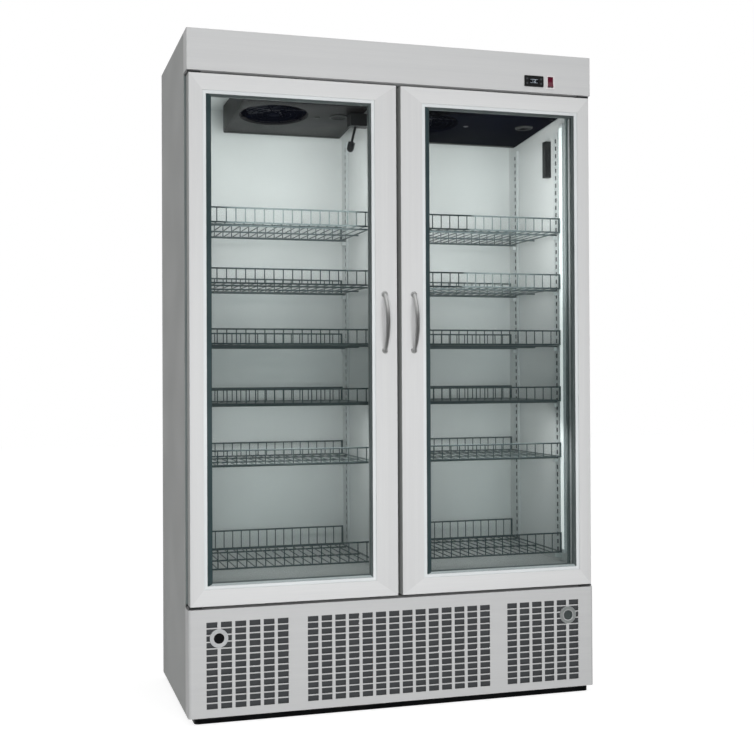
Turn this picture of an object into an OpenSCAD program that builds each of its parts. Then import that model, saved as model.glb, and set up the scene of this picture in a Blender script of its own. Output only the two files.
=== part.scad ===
// Two-door upright display refrigerator with glass doors.
// Millimetres. The front faces -Y and +Z is up.
// The origin lies on the floor, under the middle of the whole object with its handles.

/* [Cabinet] */
// Overall width
width = 1272; // [1180:2:1400]
// Overall height
height = 2000; // [1960:1:2100]
// Depth from the door fronts to the back
depth = 608; // [590:1:720]
// Thickness of the outer steel sheet
sheet_t = 1.5; // [1:0.1:2]
// Thickness of a side wall from its outer sheet to the liner's face
wall_t = 56; // [52:1:70]
// Thickness of the partition between the two compartments
partition_t = 72; // [64:1:90]
// Thickness of the back wall
back_wall_t = 70; // [55:1:80]
// Thickness of the roof insulation
roof_foam_t = 60; // [40:1:75]
// Thickness of the liner
liner_t = 1; // [0.8:0.1:2]
// Gap between sheets and covers that are fitted together
fit = 0.2; // [0.1:0.05:0.4]
// Hairline gap between the blocks and bars of one piece
joint_gap = 0.15; // [0.1:0.05:0.3]

/* [Header] */
// Height of the header fascia
header_h = 120; // [100:1:135]
// Bend radius of the header's upright edges
header_r = 3; // [2.5:0.5:8]

/* [Doors] */
// Thickness of a door frame
door_t = 50; // [44:1:60]
// How far a door's outer edge lies inside the cabinet's side
door_inset = 6; // [2:1:8]
// Gap between the two doors
door_gap = 14; // [10:1:18]
// Gap above and below the doors
door_end_gap = 8; // [7:0.5:14]
// Width of the stile on the hinge side
stile_outer_w = 50; // [46:1:60]
// Width of the stile on the handle side
stile_inner_w = 78; // [70:1:90]
// Height of the top and bottom rails
rail_h = 58; // [50:1:70]
// Wall of the door frame's hollow section
profile_wall = 2; // [1.5:0.1:3]
// How far the glass unit reaches into the frame
glass_edge = 12; // [9:1:14]
// Depth of the frame's front lip before the glass
front_lip = 5; // [3:0.5:8]
// Thickness of one pane
pane_t = 4; // [3:0.5:5]
// Space between the two panes
pane_space = 16; // [12:1:18]
// Width of the spacer between the panes, with its sealant
spacer_w = 18; // [10:1:22]
// Clearance round the glass unit in its groove
glass_clear = 0.4; // [0.3:0.1:0.6]
// Depth of the gap that the gasket fills
gasket_t = 12; // [10:0.5:14]
// Width of the gasket
gasket_w = 22; // [16:1:22]
// Wall of the gasket's hollow section
gasket_wall = 2; // [1.5:0.1:3]
// Clearance before the closed gasket
gasket_clear = 0.3; // [0.2:0.1:0.5]

/* [Hinges] */
// Distance of the pivot from the door's outer edge
pivot_edge = 20; // [18:1:22]
// Radius of a hinge pin
pin_r = 5; // [4:0.5:6]
// Radial clearance of a pin in its bore
pin_clear = 0.05; // [0.02:0.01:0.1]
// Length of a pin inside the door
pin_len = 28; // [20:1:34]
// Thickness of a hinge bracket
bracket_t = 4; // [3:0.5:5]
// Width of a hinge bracket's arm
bracket_w = 30; // [26:1:34]

/* [Handles] */
// How far a handle stands out from the door
handle_reach = 42; // [36:1:50]
// Distance between the two ends of a handle
handle_span = 168; // [140:1:200]
// Radius of the handle's bar
handle_r = 6.5; // [5.5:0.5:7.5]
// Distance of the handle from the middle of the cabinet
handle_x = 46; // [36:1:54]
// Height of the handle's middle
handle_z = 1158; // [1000:1:1300]
// Radius of the foot at each end of a handle
handle_foot_r = 10; // [9:0.5:13]
// Height of that foot
handle_foot_h = 7; // [5:0.5:9]

/* [Lower panel] */
// Height of the lower panel
panel_h = 310; // [290:1:320]
// Depth of the lower panel's folded sides
panel_d = 60; // [40:1:60]
// Bend radius of its upright edges
panel_r = 10; // [6:1:14]
// Rows of slots
slot_rows = 13; // [8:1:14]
// Height of one slot
slot_h = 16; // [8:0.5:16]
// Distance from one row to the next
slot_row_pitch = 19.4; // [18.5:0.1:20]
// Width of one slot
slot_w = 32; // [24:0.5:34]
// Distance from one column to the next
slot_column_pitch = 41.6; // [40:0.1:42]
// Columns in a side field
side_columns = 6; // [3:1:6]
// Columns in the middle field
middle_columns = 14; // [6:2:14]
// Distance of a side field of slots from the panel's side
side_field_in = 52; // [48:1:56]
// Height of the lowest row above the panel's bottom edge
slot_first_z = 24; // [20:1:28]
// Diameter of a lock's ring
lock_ring_d = 53; // [46:1:56]
// Diameter of a lock's turning core
lock_core_d = 30; // [26:1:34]
// Distance of a lock from the panel's side
lock_in = 88; // [76:1:120]
// Height of a lock above the panel's bottom edge
lock_z = 226; // [180:1:250]

/* [Controls] */
// Width of the thermostat's front
thermostat_w = 64; // [58:1:76]
// Height of the thermostat's front
thermostat_h = 34; // [34:1:40]
// Distance of the thermostat's middle from the cabinet's side
thermostat_in = 193; // [186:1:330]
// Height of the controls above the header's bottom edge
control_z = 34; // [28:1:60]
// Width of the thermostat's display window
window_w = 32; // [26:1:34]
// Height of the display window
window_h = 13; // [10:0.5:15]
// Radius of a button
button_r = 3; // [2.5:0.25:3.25]
// Travel of a button
button_travel = 1; // [0.6:0.1:1.5]
// Width of the rocker switch
rocker_w = 18; // [14:0.5:20]
// Height of the rocker switch
rocker_h = 31; // [26:0.5:34]
// Distance of the rocker switch's middle from the cabinet's side
rocker_in = 137; // [96:1:140]
// How far the rocker leans at either end of its travel, in degrees
rocker_lean = 8; // [5:1:10]

/* [Shelves] */
// Height of the bottom basket's floor above the compartment's floor
basket_z = 32; // [26:1:40]
// Height of the lowest shelf above the compartment's floor
first_shelf_z = 337; // [300:1:360]
// Distance from one shelf to the next
shelf_pitch = 180; // [150:1:190]
// Distance of a shelf's front from the face of the cabinet
shelf_front = 26; // [24:1:40]
// Gap between a shelf and the back wall of the compartment
shelf_back = 35; // [30:1:60]
// Height of the fences at a shelf's front and back
fence_h = 45; // [30:1:60]
// Height of the bottom basket's fences
basket_fence_h = 62; // [40:1:80]
// Distance from one wire to the next
wire_pitch = 28.5; // [26:0.5:40]
// Thickness of a shelf wire
wire_t = 3.2; // [2.5:0.1:4]
// Diameter of the rods that cross under the wires
rod_d = 6; // [5:0.5:7]
// Diameter of a fence's rails
rail_d = 5; // [4.5:0.5:6]
// Width of a slotted shelf rail
upright_w = 32; // [22:1:34]
// Thickness of a slotted shelf rail
upright_t = 8; // [6:0.5:10]
// Distance from one slot in a shelf rail to the next
upright_pitch = 24; // [20:1:30]
// Distance of the front shelf rails from the face of the cabinet
upright_front = 65; // [50:1:90]
// Distance of the rear shelf rails from the back wall of the compartment
upright_back = 71; // [66:1:110]
// Gap between a shelf and the shelf rails
shelf_side_gap = 2; // [1:0.5:4]

/* [Ceiling units] */
// Height of a ceiling unit at its rear edge
unit_h = 88; // [70:1:90]
// Height of a ceiling unit at its front edge
unit_front_h = 57; // [57:1:68]
// Distance of a ceiling unit from the face of the cabinet
unit_front = 38; // [30:1:60]
// Gap between a ceiling unit and the back wall of the compartment
unit_back = 68; // [40:1:90]
// Width of the left ceiling unit
unit_left_w = 394; // [360:2:440]
// Gap between the right ceiling unit and the lamp and rails beside it
unit_side_gap = 1; // [1:0.5:30]
// Diameter of a ceiling unit's fan opening
unit_fan_d = 210; // [180:2:220]
// Radius of a ceiling fan's blades
unit_blade_r = 98; // [80:1:100]
// Sheet of a ceiling unit's cover
unit_sheet = 1.2; // [1:0.1:1.5]
// Wire of the fan guard
guard_d = 3; // [2:0.5:4]

/* [Cooling machine] */
// Height of the gap between the floor and the black plinth
plinth_gap = 3; // [2:0.5:4]
// Height of the lower panel's bottom edge
plinth_h = 20; // [18:1:24]
// Height of the top of the base tray
tray_z = 15; // [13:0.5:15]
// Thickness of the base tray
tray_t = 2; // [1.5:0.1:3]
// How far the plinth lies inside the cabinet's sides
plinth_inset = 18; // [10:1:30]
// How far the plinth lies behind the panel's front
plinth_setback = 5; // [2:0.5:10]
// Radius of the plinth's front corners
plinth_r = 12; // [6:1:20]
// Radius of a levelling foot
foot_r = 25; // [18:1:30]
// Thickness of a foot's pad
foot_t = 5; // [4:0.5:6]
// Radius of a foot's screw
foot_screw_r = 5; // [4:0.5:6]
// Radius of the compressor's shell
compressor_r = 85; // [70:1:95]
// Height of the compressor's shell
compressor_h = 170; // [140:1:190]
// Width of the condenser
condenser_w = 320; // [280:2:360]
// Height of the condenser
condenser_h = 230; // [215:1:250]
// Depth of the condenser
condenser_d = 66; // [50:1:80]
// Fins of the condenser
condenser_fins = 18; // [12:1:24]
// Diameter of the condenser fan's opening
cool_fan_d = 206; // [180:2:208]
// Radius of the condenser fan's blades
cool_blade_r = 98; // [80:1:100]
// Radius of a refrigerant pipe
pipe_r = 4; // [3:0.5:5]
// Radius of the cable gland in the back
gland_r = 9; // [7:0.5:11]

/* [Hidden] */

$fn = 48;
// Reach of a cutter past the face that it opens
past = 1;

// Planes of the cabinet
y_front = (handle_reach - depth) / 2;
y_back = (handle_reach + depth) / 2;
y_door_back = y_front + door_t;
y_face = y_door_back + gasket_t;
x_out = width / 2;
x_in = x_out - wall_t;
x_part = partition_t / 2;
x_mid = (x_in + x_part) / 2;
room_w = x_in - x_part;
z_panel_top = plinth_h + panel_h;
z_header = height - header_h;
z_door_low = z_panel_top + door_end_gap;
z_door_high = z_header - door_end_gap;
door_h = z_door_high - z_door_low;
// The frame round each opening: its depth, and how far it laps behind the doors
frame_t = 12;
frame_lap = 58.5;
frame_lap_top = 52.5;
z_floor = z_door_low + frame_lap;
z_open = z_door_high - frame_lap_top;
z_ceiling = z_header;
z_machine = z_door_low;
y_room_back = y_back - back_wall_t;
y_room_front = y_face + frame_t;
y_foam_back = y_back - 2 * (sheet_t + fit);
flange_w = 24;

// Doors
door_x_out = x_out - door_inset;
door_x_in = door_gap / 2;
door_w = door_x_out - door_x_in;
pivot_x = door_x_out - pivot_edge;
pivot_y = y_front + door_t / 2;
plug_len = pin_len + 6;
glass_w = door_w - stile_outer_w - stile_inner_w;
unit_glass_t = 2 * pane_t + pane_space + 2 * joint_gap;
groove_w = unit_glass_t + 2 * glass_clear;
gasket_edge = 8;
gasket_in_x = x_part - 4;
gasket_hinge_x = pivot_x - 6;

// Lower panel, which tilts forward about a line near its bottom front edge
panel_axis_y = y_front + 8;
panel_axis_z = plinth_h + 7;
ear_t = 3;
ear_r = 7;
ear_x = x_out - 20;
tilt_pin_r = 4;
tilt_arm_t = 4;
tilt_arm_x = ear_x - 16;
lock_x = x_out - lock_in;
side_field_x = x_out - side_field_in;
slot_field_h = (slot_rows - 1) * slot_row_pitch + slot_h;
side_field_w = (side_columns - 1) * slot_column_pitch + slot_w;
middle_field_w = (middle_columns - 1) * slot_column_pitch + slot_w;
lock_ring_t = 3;
lock_seat_t = 4;
lock_shaft_r = 5;
lock_cam_len = 34;
lock_cam_w = 12;
lock_cam_t = 3;
lock_shaft_len = 16;

// Controls
bezel_t = 3;
bezel_r = 3;
case_wall = 2;
case_d = 46;
case_w = thermostat_w - 4;
case_h = thermostat_h - 5;
window_t = 1.6;
button_dx = (thermostat_w + window_w) / 4 - 0.5;
button_dz = 7;
button_out = button_travel;
button_flange_t = 1.2;
button_flange_r = button_r + 0.9;
thermostat_x = x_out - thermostat_in;
rocker_x = x_out - rocker_in;
z_control = z_header + control_z;
rocker_gap = 0.4;
rocker_rim = 3.2;
rocker_pin_r = 1.5;
rocker_depth = 12;
rocker_swing_gap = 1.4;
housing_d = 24;

// Shelves
shelf_count = 5;
shelf_w = room_w - 2 * (upright_t + shelf_side_gap);
y_shelf = y_face + shelf_front;
shelf_d = y_room_back - shelf_back - y_shelf;
y_upright_front = y_face + upright_front;
y_upright_back = y_room_back - upright_back;
wires = floor((shelf_w - rod_d) / wire_pitch);
wire_x0 = -wires * wire_pitch / 2;
fence_gap = 0.2;
rod_z = -(rod_d + wire_t) / 2 + 0.8;
upright_z0 = z_floor + 12;
upright_z1 = z_ceiling - unit_h - 12;
upright_slots = floor((upright_z1 - upright_z0 - 20) / upright_pitch);
upright_skin = 1.5;
clip_w = 16;
clip_h = 12;
clip_reach = 12;

// Ceiling units
z_unit = z_ceiling - unit_h;
y_unit = y_face + unit_front;
unit_d = y_room_back - unit_back - y_unit;
unit_left_x = -(x_part + 24 + unit_left_w / 2);
unit_right_w = room_w - 2 * (upright_t + unit_side_gap);
unit_right_x = x_mid;
unit_fan_side_in = 121;
unit_fan_y = y_unit + 138;
unit_coil_w = 118;
unit_coil_d = 300;
unit_coil_h = 54;
coil_fins = 14;
coil_rows = 3;
coil_stub = 6;
fan_rise = 6;
fan_z = unit_floor(unit_fan_y - unit_fan_d / 2) + fan_rise;
blade_count = 5;
blade_t = 2.5;
blade_tilt = 32;
motor_r = 34;
shaft_r = 3;
hub_r = 24;
hub_h = 22;
unit_motor_h = 26;

// Cooling machine in the base
condenser_side_in = 146;
condenser_x = condenser_side_in + condenser_w / 2 - x_out;
condenser_y = y_face + 24;
condenser_z = tray_z + 12;
condenser_rows = 6;
condenser_end_t = 2;
shroud_t = 2;
shroud_y = condenser_y + condenser_d + 2;
cool_fan_y = shroud_y + 16;
cool_fan_z = condenser_z + condenser_h / 2;
cool_motor_l = 60;
compressor_x = 130;
compressor_wall = 3.5;
compressor_dome = 30;
compressor_back_in = 190;
compressor_y = y_back - compressor_back_in;
mount_h = 22;
mount_r = 14;
mount_stud_r = 6;
mount_dx = 95;
mount_dy = 70;
pan_w = 240;
pan_d = 150;
pan_h = 36;
pan_wall = 2;
pan_side_in = 86;
pan_front_in = 55;
pan_x = x_out - pan_side_in - pan_w / 2;
pan_y = y_face + pan_front_in + pan_d / 2;
box_w = 110;
box_h = 70;
box_d = 60;
box_side_in = 151;
box_x = x_out - box_side_in - box_w / 2;
box_z = 150;
gland_hole_r = gland_r + 2;
foot_side_in = 90;
foot_front_in = 90;
foot_back_in = 70;

// A rectangle centred on x that starts at y = 0, with its two front corners rounded
module bent_outline(w, d, r) {
    translate([-w / 2, r]) square([w, d - r]);
    translate([-w / 2 + r, 0]) square([w - 2 * r, r + past / 10]);
    for (side = [-1, 1])
        translate([side * (w / 2 - r), r]) circle(r = r);
}

// A rectangle centred on both axes with all corners rounded
module round_rect(w, h, r) {
    square([w - 2 * r, h], center = true);
    square([w, h - 2 * r], center = true);
    for (sx = [-1, 1], sy = [-1, 1])
        translate([sx * (w / 2 - r), sy * (h / 2 - r)]) circle(r = r);
}

// A block given by its lowest and highest corners
module block(low, high) {
    translate(low) cube(high - low);
}

// A block and its mirror image on the other side of the cabinet
module block_pair(low, high) {
    block(low, high);
    mirror([1, 0, 0]) block(low, high);
}

// A round bar from one point to another that runs along x, y or z
module bar(from, to, r) {
    d = to - from;
    len = norm(d);
    angles = d[0] != 0 ? [0, 90, 0] : d[1] != 0 ? [-90, 0, 0] : [0, 0, 0];
    start = d[0] + d[1] + d[2] > 0 ? from : to;
    translate(start) rotate(angles) cylinder(r = r, h = len);
}

// A pipe through a row of points, each leg along x, y or z
module pipe(points, r) {
    for (i = [0:len(points) - 2])
        bar(points[i], points[i + 1], r);
    for (i = [1:len(points) - 2])
        translate(points[i]) sphere(r = r);
}

module base_frame() {
    w = 2 * (x_out - plinth_inset);
    color("#17191a") {
        difference() {
            translate([0, y_front + plinth_setback, plinth_gap])
                linear_extrude(tray_z - plinth_gap)
                    bent_outline(w, depth - plinth_setback - sheet_t - 2 * fit, plinth_r);
            translate([0, y_front + plinth_setback + tray_t, plinth_gap - past])
                linear_extrude(tray_z - plinth_gap - tray_t + past)
                    bent_outline(w - 2 * tray_t, depth - plinth_setback - 3 * tray_t, plinth_r - tray_t);
            foot_places() translate([0, 0, plinth_gap])
                cylinder(r = foot_screw_r + pin_clear, h = tray_z);
        }
        // Strips that carry the side panels
        block_pair([w / 2 - tray_t, y_face, tray_z - tray_t], [w / 2, y_back - 8, plinth_h]);
        // Threaded bosses for the feet
        foot_places() difference() {
            translate([0, 0, foot_t + fit])
                cylinder(r = foot_screw_r + 6, h = tray_z - foot_t - fit - tray_t / 2);
            cylinder(r = foot_screw_r + pin_clear, h = tray_z + past);
        }
        for (side = [-1, 1])
            scale([side, 1, 1]) tilt_arm();
    }
}

// Arm and pin that the lower panel tilts on
module tilt_arm() {
    // The arm runs back over foot_y, then stands on the tray as far as the side panels
    foot_y = 14;
    end_y = y_face - fit - panel_axis_y;
    arm_r = 5;
    translate([tilt_arm_x, panel_axis_y, panel_axis_z]) {
        rotate([90, 0, 90]) linear_extrude(tilt_arm_t) {
            circle(r = arm_r);
            translate([0, -arm_r]) square([foot_y + past, 2 * arm_r]);
            translate([foot_y, tray_z - panel_axis_z - past])
                square([end_y - foot_y, panel_axis_z - tray_z + arm_r + past]);
        }
        rotate([0, 90, 0]) cylinder(r = tilt_pin_r, h = ear_x + ear_t - tilt_arm_x + 1);
    }
}

// The six places of the levelling feet
module foot_places() {
    for (x = [-1, 0, 1], y = [y_front + foot_front_in, y_back - foot_back_in])
        translate([x * (x_out - foot_side_in), y, 0]) children();
}

module levelling_feet() {
    color("#3a3c3d") foot_places() {
        cylinder(r = foot_r, h = foot_t);
        cylinder(r = foot_screw_r, h = tray_z + 4);
    }
}

module side_panel() {
    color("#9a9d9e") {
        block([x_out - sheet_t, y_face, plinth_h], [x_out, y_back, height]);
        block([x_out - plinth_inset - flange_w, y_face, plinth_h],
            [x_out - sheet_t + past / 10, y_back - sheet_t - fit, plinth_h + sheet_t]);
        block([x_out - flange_w, y_back - 2 * sheet_t - fit, plinth_h],
            [x_out - sheet_t + past / 10, y_back - sheet_t - fit, height - sheet_t - fit]);
    }
}

module side_panel_right() {
    side_panel();
}

module side_panel_left() {
    mirror([1, 0, 0]) side_panel();
}

module back_panel() {
    color("#a6a9aa")
        block([-x_out + sheet_t + fit, y_back - sheet_t, z_machine + fit],
            [x_out - sheet_t - fit, y_back, height - sheet_t - fit]);
}

module rear_grille() {
    w = x_out - sheet_t - fit;
    vent_w = 150;
    vent_h = 8;
    vent_pitch = 22;
    vent_gap = 30;
    vent_side_in = 111;
    vent_low = 70;
    rows = 9;
    columns = 4;
    color("#a6a9aa") difference() {
        block([-w, y_back - sheet_t, plinth_h + fit], [w, y_back, z_machine - fit]);
        for (i = [0:rows - 1], k = [0:columns - 1])
            translate([vent_side_in - x_out + k * (vent_w + vent_gap), y_back - sheet_t - past,
                plinth_h + vent_low + i * vent_pitch])
                cube([vent_w, sheet_t + 2 * past, vent_h]);
        translate([box_x, y_back - sheet_t - past, box_z]) rotate([-90, 0, 0])
            cylinder(r = gland_hole_r, h = sheet_t + 2 * past);
    }
}

module top_panel() {
    w = x_out - sheet_t - fit;
    color("#a6a9aa")
        block([-w, y_face, height - sheet_t], [w, y_back - sheet_t - fit, height]);
}

module foam_insulation() {
    skin = liner_t + fit;
    side_in = x_in + skin;
    z_low = z_machine + fit;
    z_high = z_ceiling + roof_foam_t;
    inner = side_in - joint_gap;
    color("#e8d9a8") {
        block_pair([side_in, y_room_front + fit, z_low], [x_out - sheet_t - fit, y_foam_back, z_high]);
        block([-inner, y_room_back + skin, z_low], [inner, y_foam_back, z_high]);
        block([-inner, y_room_front + fit, z_low],
            [inner, y_room_back + skin - joint_gap, z_floor - skin]);
        block([-inner, y_room_front + fit, z_ceiling + skin],
            [inner, y_room_back + skin - joint_gap, z_high]);
        block([-x_part + skin, y_room_front + fit, z_floor - skin + joint_gap],
            [x_part - skin, y_room_back + skin - joint_gap, z_ceiling + skin - joint_gap]);
    }
}

module compartment_liners() {
    color("#dfe4e2") for (side = [-1, 1]) scale([side, 1, 1]) difference() {
        block([x_part - liner_t, y_room_front + fit, z_floor - liner_t],
            [x_in + liner_t, y_room_back + liner_t, z_ceiling + liner_t]);
        block([x_part, y_room_front - past, z_floor], [x_in, y_room_back, z_ceiling]);
    }
}

module front_frame() {
    x_edge = x_out - sheet_t - fit;
    z_top = z_ceiling + 30;
    color("#8d9192") {
        block_pair([x_in, y_face, z_machine], [x_edge, y_room_front, z_top]);
        block([-x_part, y_face, z_machine], [x_part, y_room_front, z_top]);
        block_pair([x_part + joint_gap, y_face, z_machine], [x_in - joint_gap, y_room_front, z_floor]);
        block_pair([x_part + joint_gap, y_face, z_open], [x_in - joint_gap, y_room_front, z_top]);
    }
}

module header_fascia() {
    d = y_face - fit - y_front;
    color("#cfd1d1") difference() {
        translate([0, y_front, z_header]) linear_extrude(header_h) bent_outline(width, d, header_r);
        translate([0, y_front + sheet_t, z_header + sheet_t])
            linear_extrude(header_h - 2 * sheet_t)
                bent_outline(width - 2 * sheet_t, d, header_r - sheet_t);
        translate([thermostat_x, y_front, z_control])
            cube([case_w + 2 * fit, 3 * sheet_t, case_h + 2 * fit], center = true);
        translate([rocker_x, y_front, z_control])
            cube([rocker_w + 2 * rocker_rim, 3 * sheet_t, rocker_h + 2 * rocker_rim + 2], center = true);
    }
}

// Places something in the thermostat's own frame: x right, y up, z out of the front
module on_thermostat() {
    translate([thermostat_x, y_front, z_control]) rotate([90, 0, 0]) children();
}

module button_holes(r, z0, h) {
    for (sx = [-1, 1], sy = [-1, 1])
        translate([sx * button_dx, sy * button_dz, z0]) cylinder(r = r, h = h);
}

module thermostat_case() {
    color("#141617") on_thermostat() difference() {
        union() {
            linear_extrude(bezel_t) round_rect(thermostat_w, thermostat_h, bezel_r);
            translate([-case_w / 2, -case_h / 2, -case_d]) cube([case_w, case_h, case_d + past / 10]);
        }
        translate([-case_w / 2 + case_wall, -case_h / 2 + case_wall, -case_d + case_wall])
            cube([case_w - 2 * case_wall, case_h - 2 * case_wall, case_d - case_wall]);
        translate([0, 0, bezel_t - window_t])
            linear_extrude(window_t + past) round_rect(window_w, window_h, 1.5);
        button_holes(button_r + 2 * pin_clear, -past, bezel_t + 2 * past);
    }
}

module thermostat_window() {
    edge = fit / 2;
    color("#2b2f33") on_thermostat() translate([0, 0, bezel_t - window_t + edge])
        linear_extrude(window_t - edge) round_rect(window_w - 2 * edge, window_h - 2 * edge, 1.4);
}

module button(sx, sy) {
    color("#3c4042") on_thermostat() translate([sx * button_dx, sy * button_dz, 0]) {
        translate([0, 0, -2]) cylinder(r = button_r, h = bezel_t + button_out + 2);
        translate([0, 0, -button_flange_t - fit]) cylinder(r = button_flange_r, h = button_flange_t);
    }
}

// Places something in the rocker switch's own frame: x right, y up, z out of the front
module on_switch() {
    translate([rocker_x, y_front, z_control]) rotate([90, 0, 0]) children();
}

module switch_housing() {
    open_w = rocker_w + 2 * rocker_gap;
    open_h = rocker_h + 2 * rocker_swing_gap;
    outer_w = open_w + 2 * case_wall;
    outer_h = open_h + 2 * case_wall;
    color("#d7d4cf") on_switch() difference() {
        union() {
            linear_extrude(2) round_rect(outer_w + 4, outer_h + 4, 2);
            translate([-outer_w / 2, -outer_h / 2, -housing_d])
                cube([outer_w, outer_h, housing_d + past / 10]);
        }
        translate([-open_w / 2, -open_h / 2, -housing_d + case_wall])
            cube([open_w, open_h, housing_d + past + 2]);
        translate([-outer_w / 2 - past, 0, -4]) rotate([0, 90, 0])
            cylinder(r = rocker_pin_r + pin_clear, h = outer_w + 2 * past);
    }
}

module switch_rocker() {
    nose = 5;
    color("#a3262b") on_switch() translate([0, 0, -4]) rotate([-rocker_lean, 0, 0]) {
        translate([-rocker_w / 2, 0, 0]) rotate([90, 0, 90]) linear_extrude(rocker_w)
            polygon([[-rocker_h / 2, nose + 2], [0, nose], [rocker_h / 2, nose + 2],
                [rocker_h / 2 - 3, -4], [6, 2 - rocker_depth], [-6, 2 - rocker_depth],
                [-rocker_h / 2 + 3, -4]]);
        translate([-rocker_w / 2 - case_wall, 0, 0]) rotate([0, 90, 0])
            cylinder(r = rocker_pin_r, h = rocker_w + 2 * case_wall);
    }
}

// Return bends at both ends of a stack of tubes that run along x, starting at z = 0
module return_bends(len, rows, pitch, r) {
    for (i = [0:rows - 2]) {
        side = i % 2 == 0 ? 1 : -1;
        translate([side * len / 2, 0, (i + 0.5) * pitch]) rotate([90, 0, side > 0 ? 0 : 180]) {
            rotate([0, 0, -90]) rotate_extrude(angle = 180) translate([pitch / 2, 0]) circle(r = r);
            for (dz = [-pitch / 2, pitch / 2])
                translate([-coil_stub, dz, 0]) rotate([0, 90, 0]) cylinder(r = r, h = coil_stub);
        }
    }
}

// A pack of fins on straight tubes along x, its lowest corner at z = 0 and y = 0
module fin_pack(w, d, h, fins, rows, tube_ys, fin_t, end_t) {
    pitch = h / rows;
    step = (w - end_t) / (fins - 1);
    bar_t = 2 * pipe_r * 0.8;
    for (i = [0:fins - 1])
        translate([-w / 2 + i * step, 0, 0]) cube([i == 0 || i == fins - 1 ? end_t : fin_t, d, h]);
    for (y = tube_ys, i = [0:rows - 1])
        translate([-w / 2 + end_t / 2, y - bar_t / 2, (i + 0.5) * pitch - bar_t / 2])
            cube([w - end_t, bar_t, bar_t]);
    for (y = tube_ys)
        translate([0, y, pitch / 2]) return_bends(w + 2 * coil_stub - end_t, rows, pitch, pipe_r);
}

module condenser() {
    end_t = condenser_end_t;
    color("#8b9196") translate([condenser_x, condenser_y, condenser_z]) {
        fin_pack(condenser_w, condenser_d, condenser_h, condenser_fins, condenser_rows,
            [condenser_d / 4, 3 * condenser_d / 4], 1, end_t);
        // Feet that stand on the base tray
        for (x = [-condenser_w / 2, condenser_w / 2 - end_t])
            translate([x, 0, tray_z - condenser_z]) cube([end_t, condenser_d, condenser_z - tray_z + past]);
    }
}

module condenser_shroud() {
    w = condenser_w;
    h = condenser_h + condenser_z - tray_z;
    color("#5d6164") translate([condenser_x, shroud_y, tray_z]) {
        difference() {
            translate([-w / 2, 0, 0]) cube([w, shroud_t, h]);
            translate([0, -past, cool_fan_z - tray_z]) rotate([-90, 0, 0])
                cylinder(d = cool_fan_d, h = shroud_t + 2 * past);
        }
        // Collar round the fan
        translate([0, shroud_t / 2, cool_fan_z - tray_z]) rotate([-90, 0, 0]) difference() {
            cylinder(d = cool_fan_d + 2 * shroud_t, h = 26);
            translate([0, 0, -past]) cylinder(d = cool_fan_d, h = 28);
        }
    }
}

// Outline of the compressor's shell, grown outwards by grow
module compressor_body(grow) {
    r = compressor_r + grow;
    h = compressor_h - compressor_dome;
    translate([0, 0, -grow]) cylinder(r = r, h = h + grow);
    translate([0, 0, h]) cylinder(r1 = r, r2 = r - 22, h = compressor_dome + grow);
}

module compressor() {
    plate_x = mount_dx + 22;
    plate_y = mount_dy + 22;
    plate_t = 3;
    cover_w = 64;
    cover_low = 40;
    cover_high = 110;
    cover_out = 28;
    pump_gap = 0.3;
    motor_core_r = 52;
    motor_h = 70;
    pump_w = 60;
    pump_d = 80;
    pump_h = 40;
    color("#202325") translate([compressor_x, compressor_y, tray_z + mount_h]) {
        difference() {
            block([-plate_x, -plate_y, 0], [plate_x, plate_y, plate_t]);
            for (sx = [-1, 1], sy = [-1, 1])
                translate([sx * mount_dx, sy * mount_dy, -past])
                    cylinder(r = mount_stud_r + fit, h = plate_t + 2 * past);
        }
        translate([0, 0, plate_t - past / 10]) {
            difference() {
                union() {
                    compressor_body(0);
                    // Weld seam round the shell
                    translate([0, 0, compressor_h * 0.55]) cylinder(r = compressor_r + 4, h = 6);
                }
                compressor_body(-compressor_wall);
            }
            // Terminal cover
            block([compressor_r - past, -cover_w / 2, cover_low],
                [compressor_r + cover_out, cover_w / 2, cover_high]);
            // Motor and pump on the floor of the shell
            translate([0, 0, compressor_wall + pump_gap]) {
                cylinder(r = motor_core_r, h = motor_h);
                block([-pump_w / 2, -pump_d / 2, motor_h - past], [pump_w / 2, pump_d / 2, motor_h + pump_h]);
            }
        }
    }
}

module compressor_mounts() {
    plate_t = 3;
    color("#2a2b2c") for (sx = [-1, 1], sy = [-1, 1])
        translate([compressor_x + sx * mount_dx, compressor_y + sy * mount_dy, tray_z]) {
            cylinder(r = mount_r, h = mount_h);
            cylinder(r = mount_stud_r, h = mount_h + plate_t);
            translate([0, 0, mount_h + plate_t + fit / 2]) cylinder(r = mount_r - 4, h = 3);
        }
}

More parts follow.
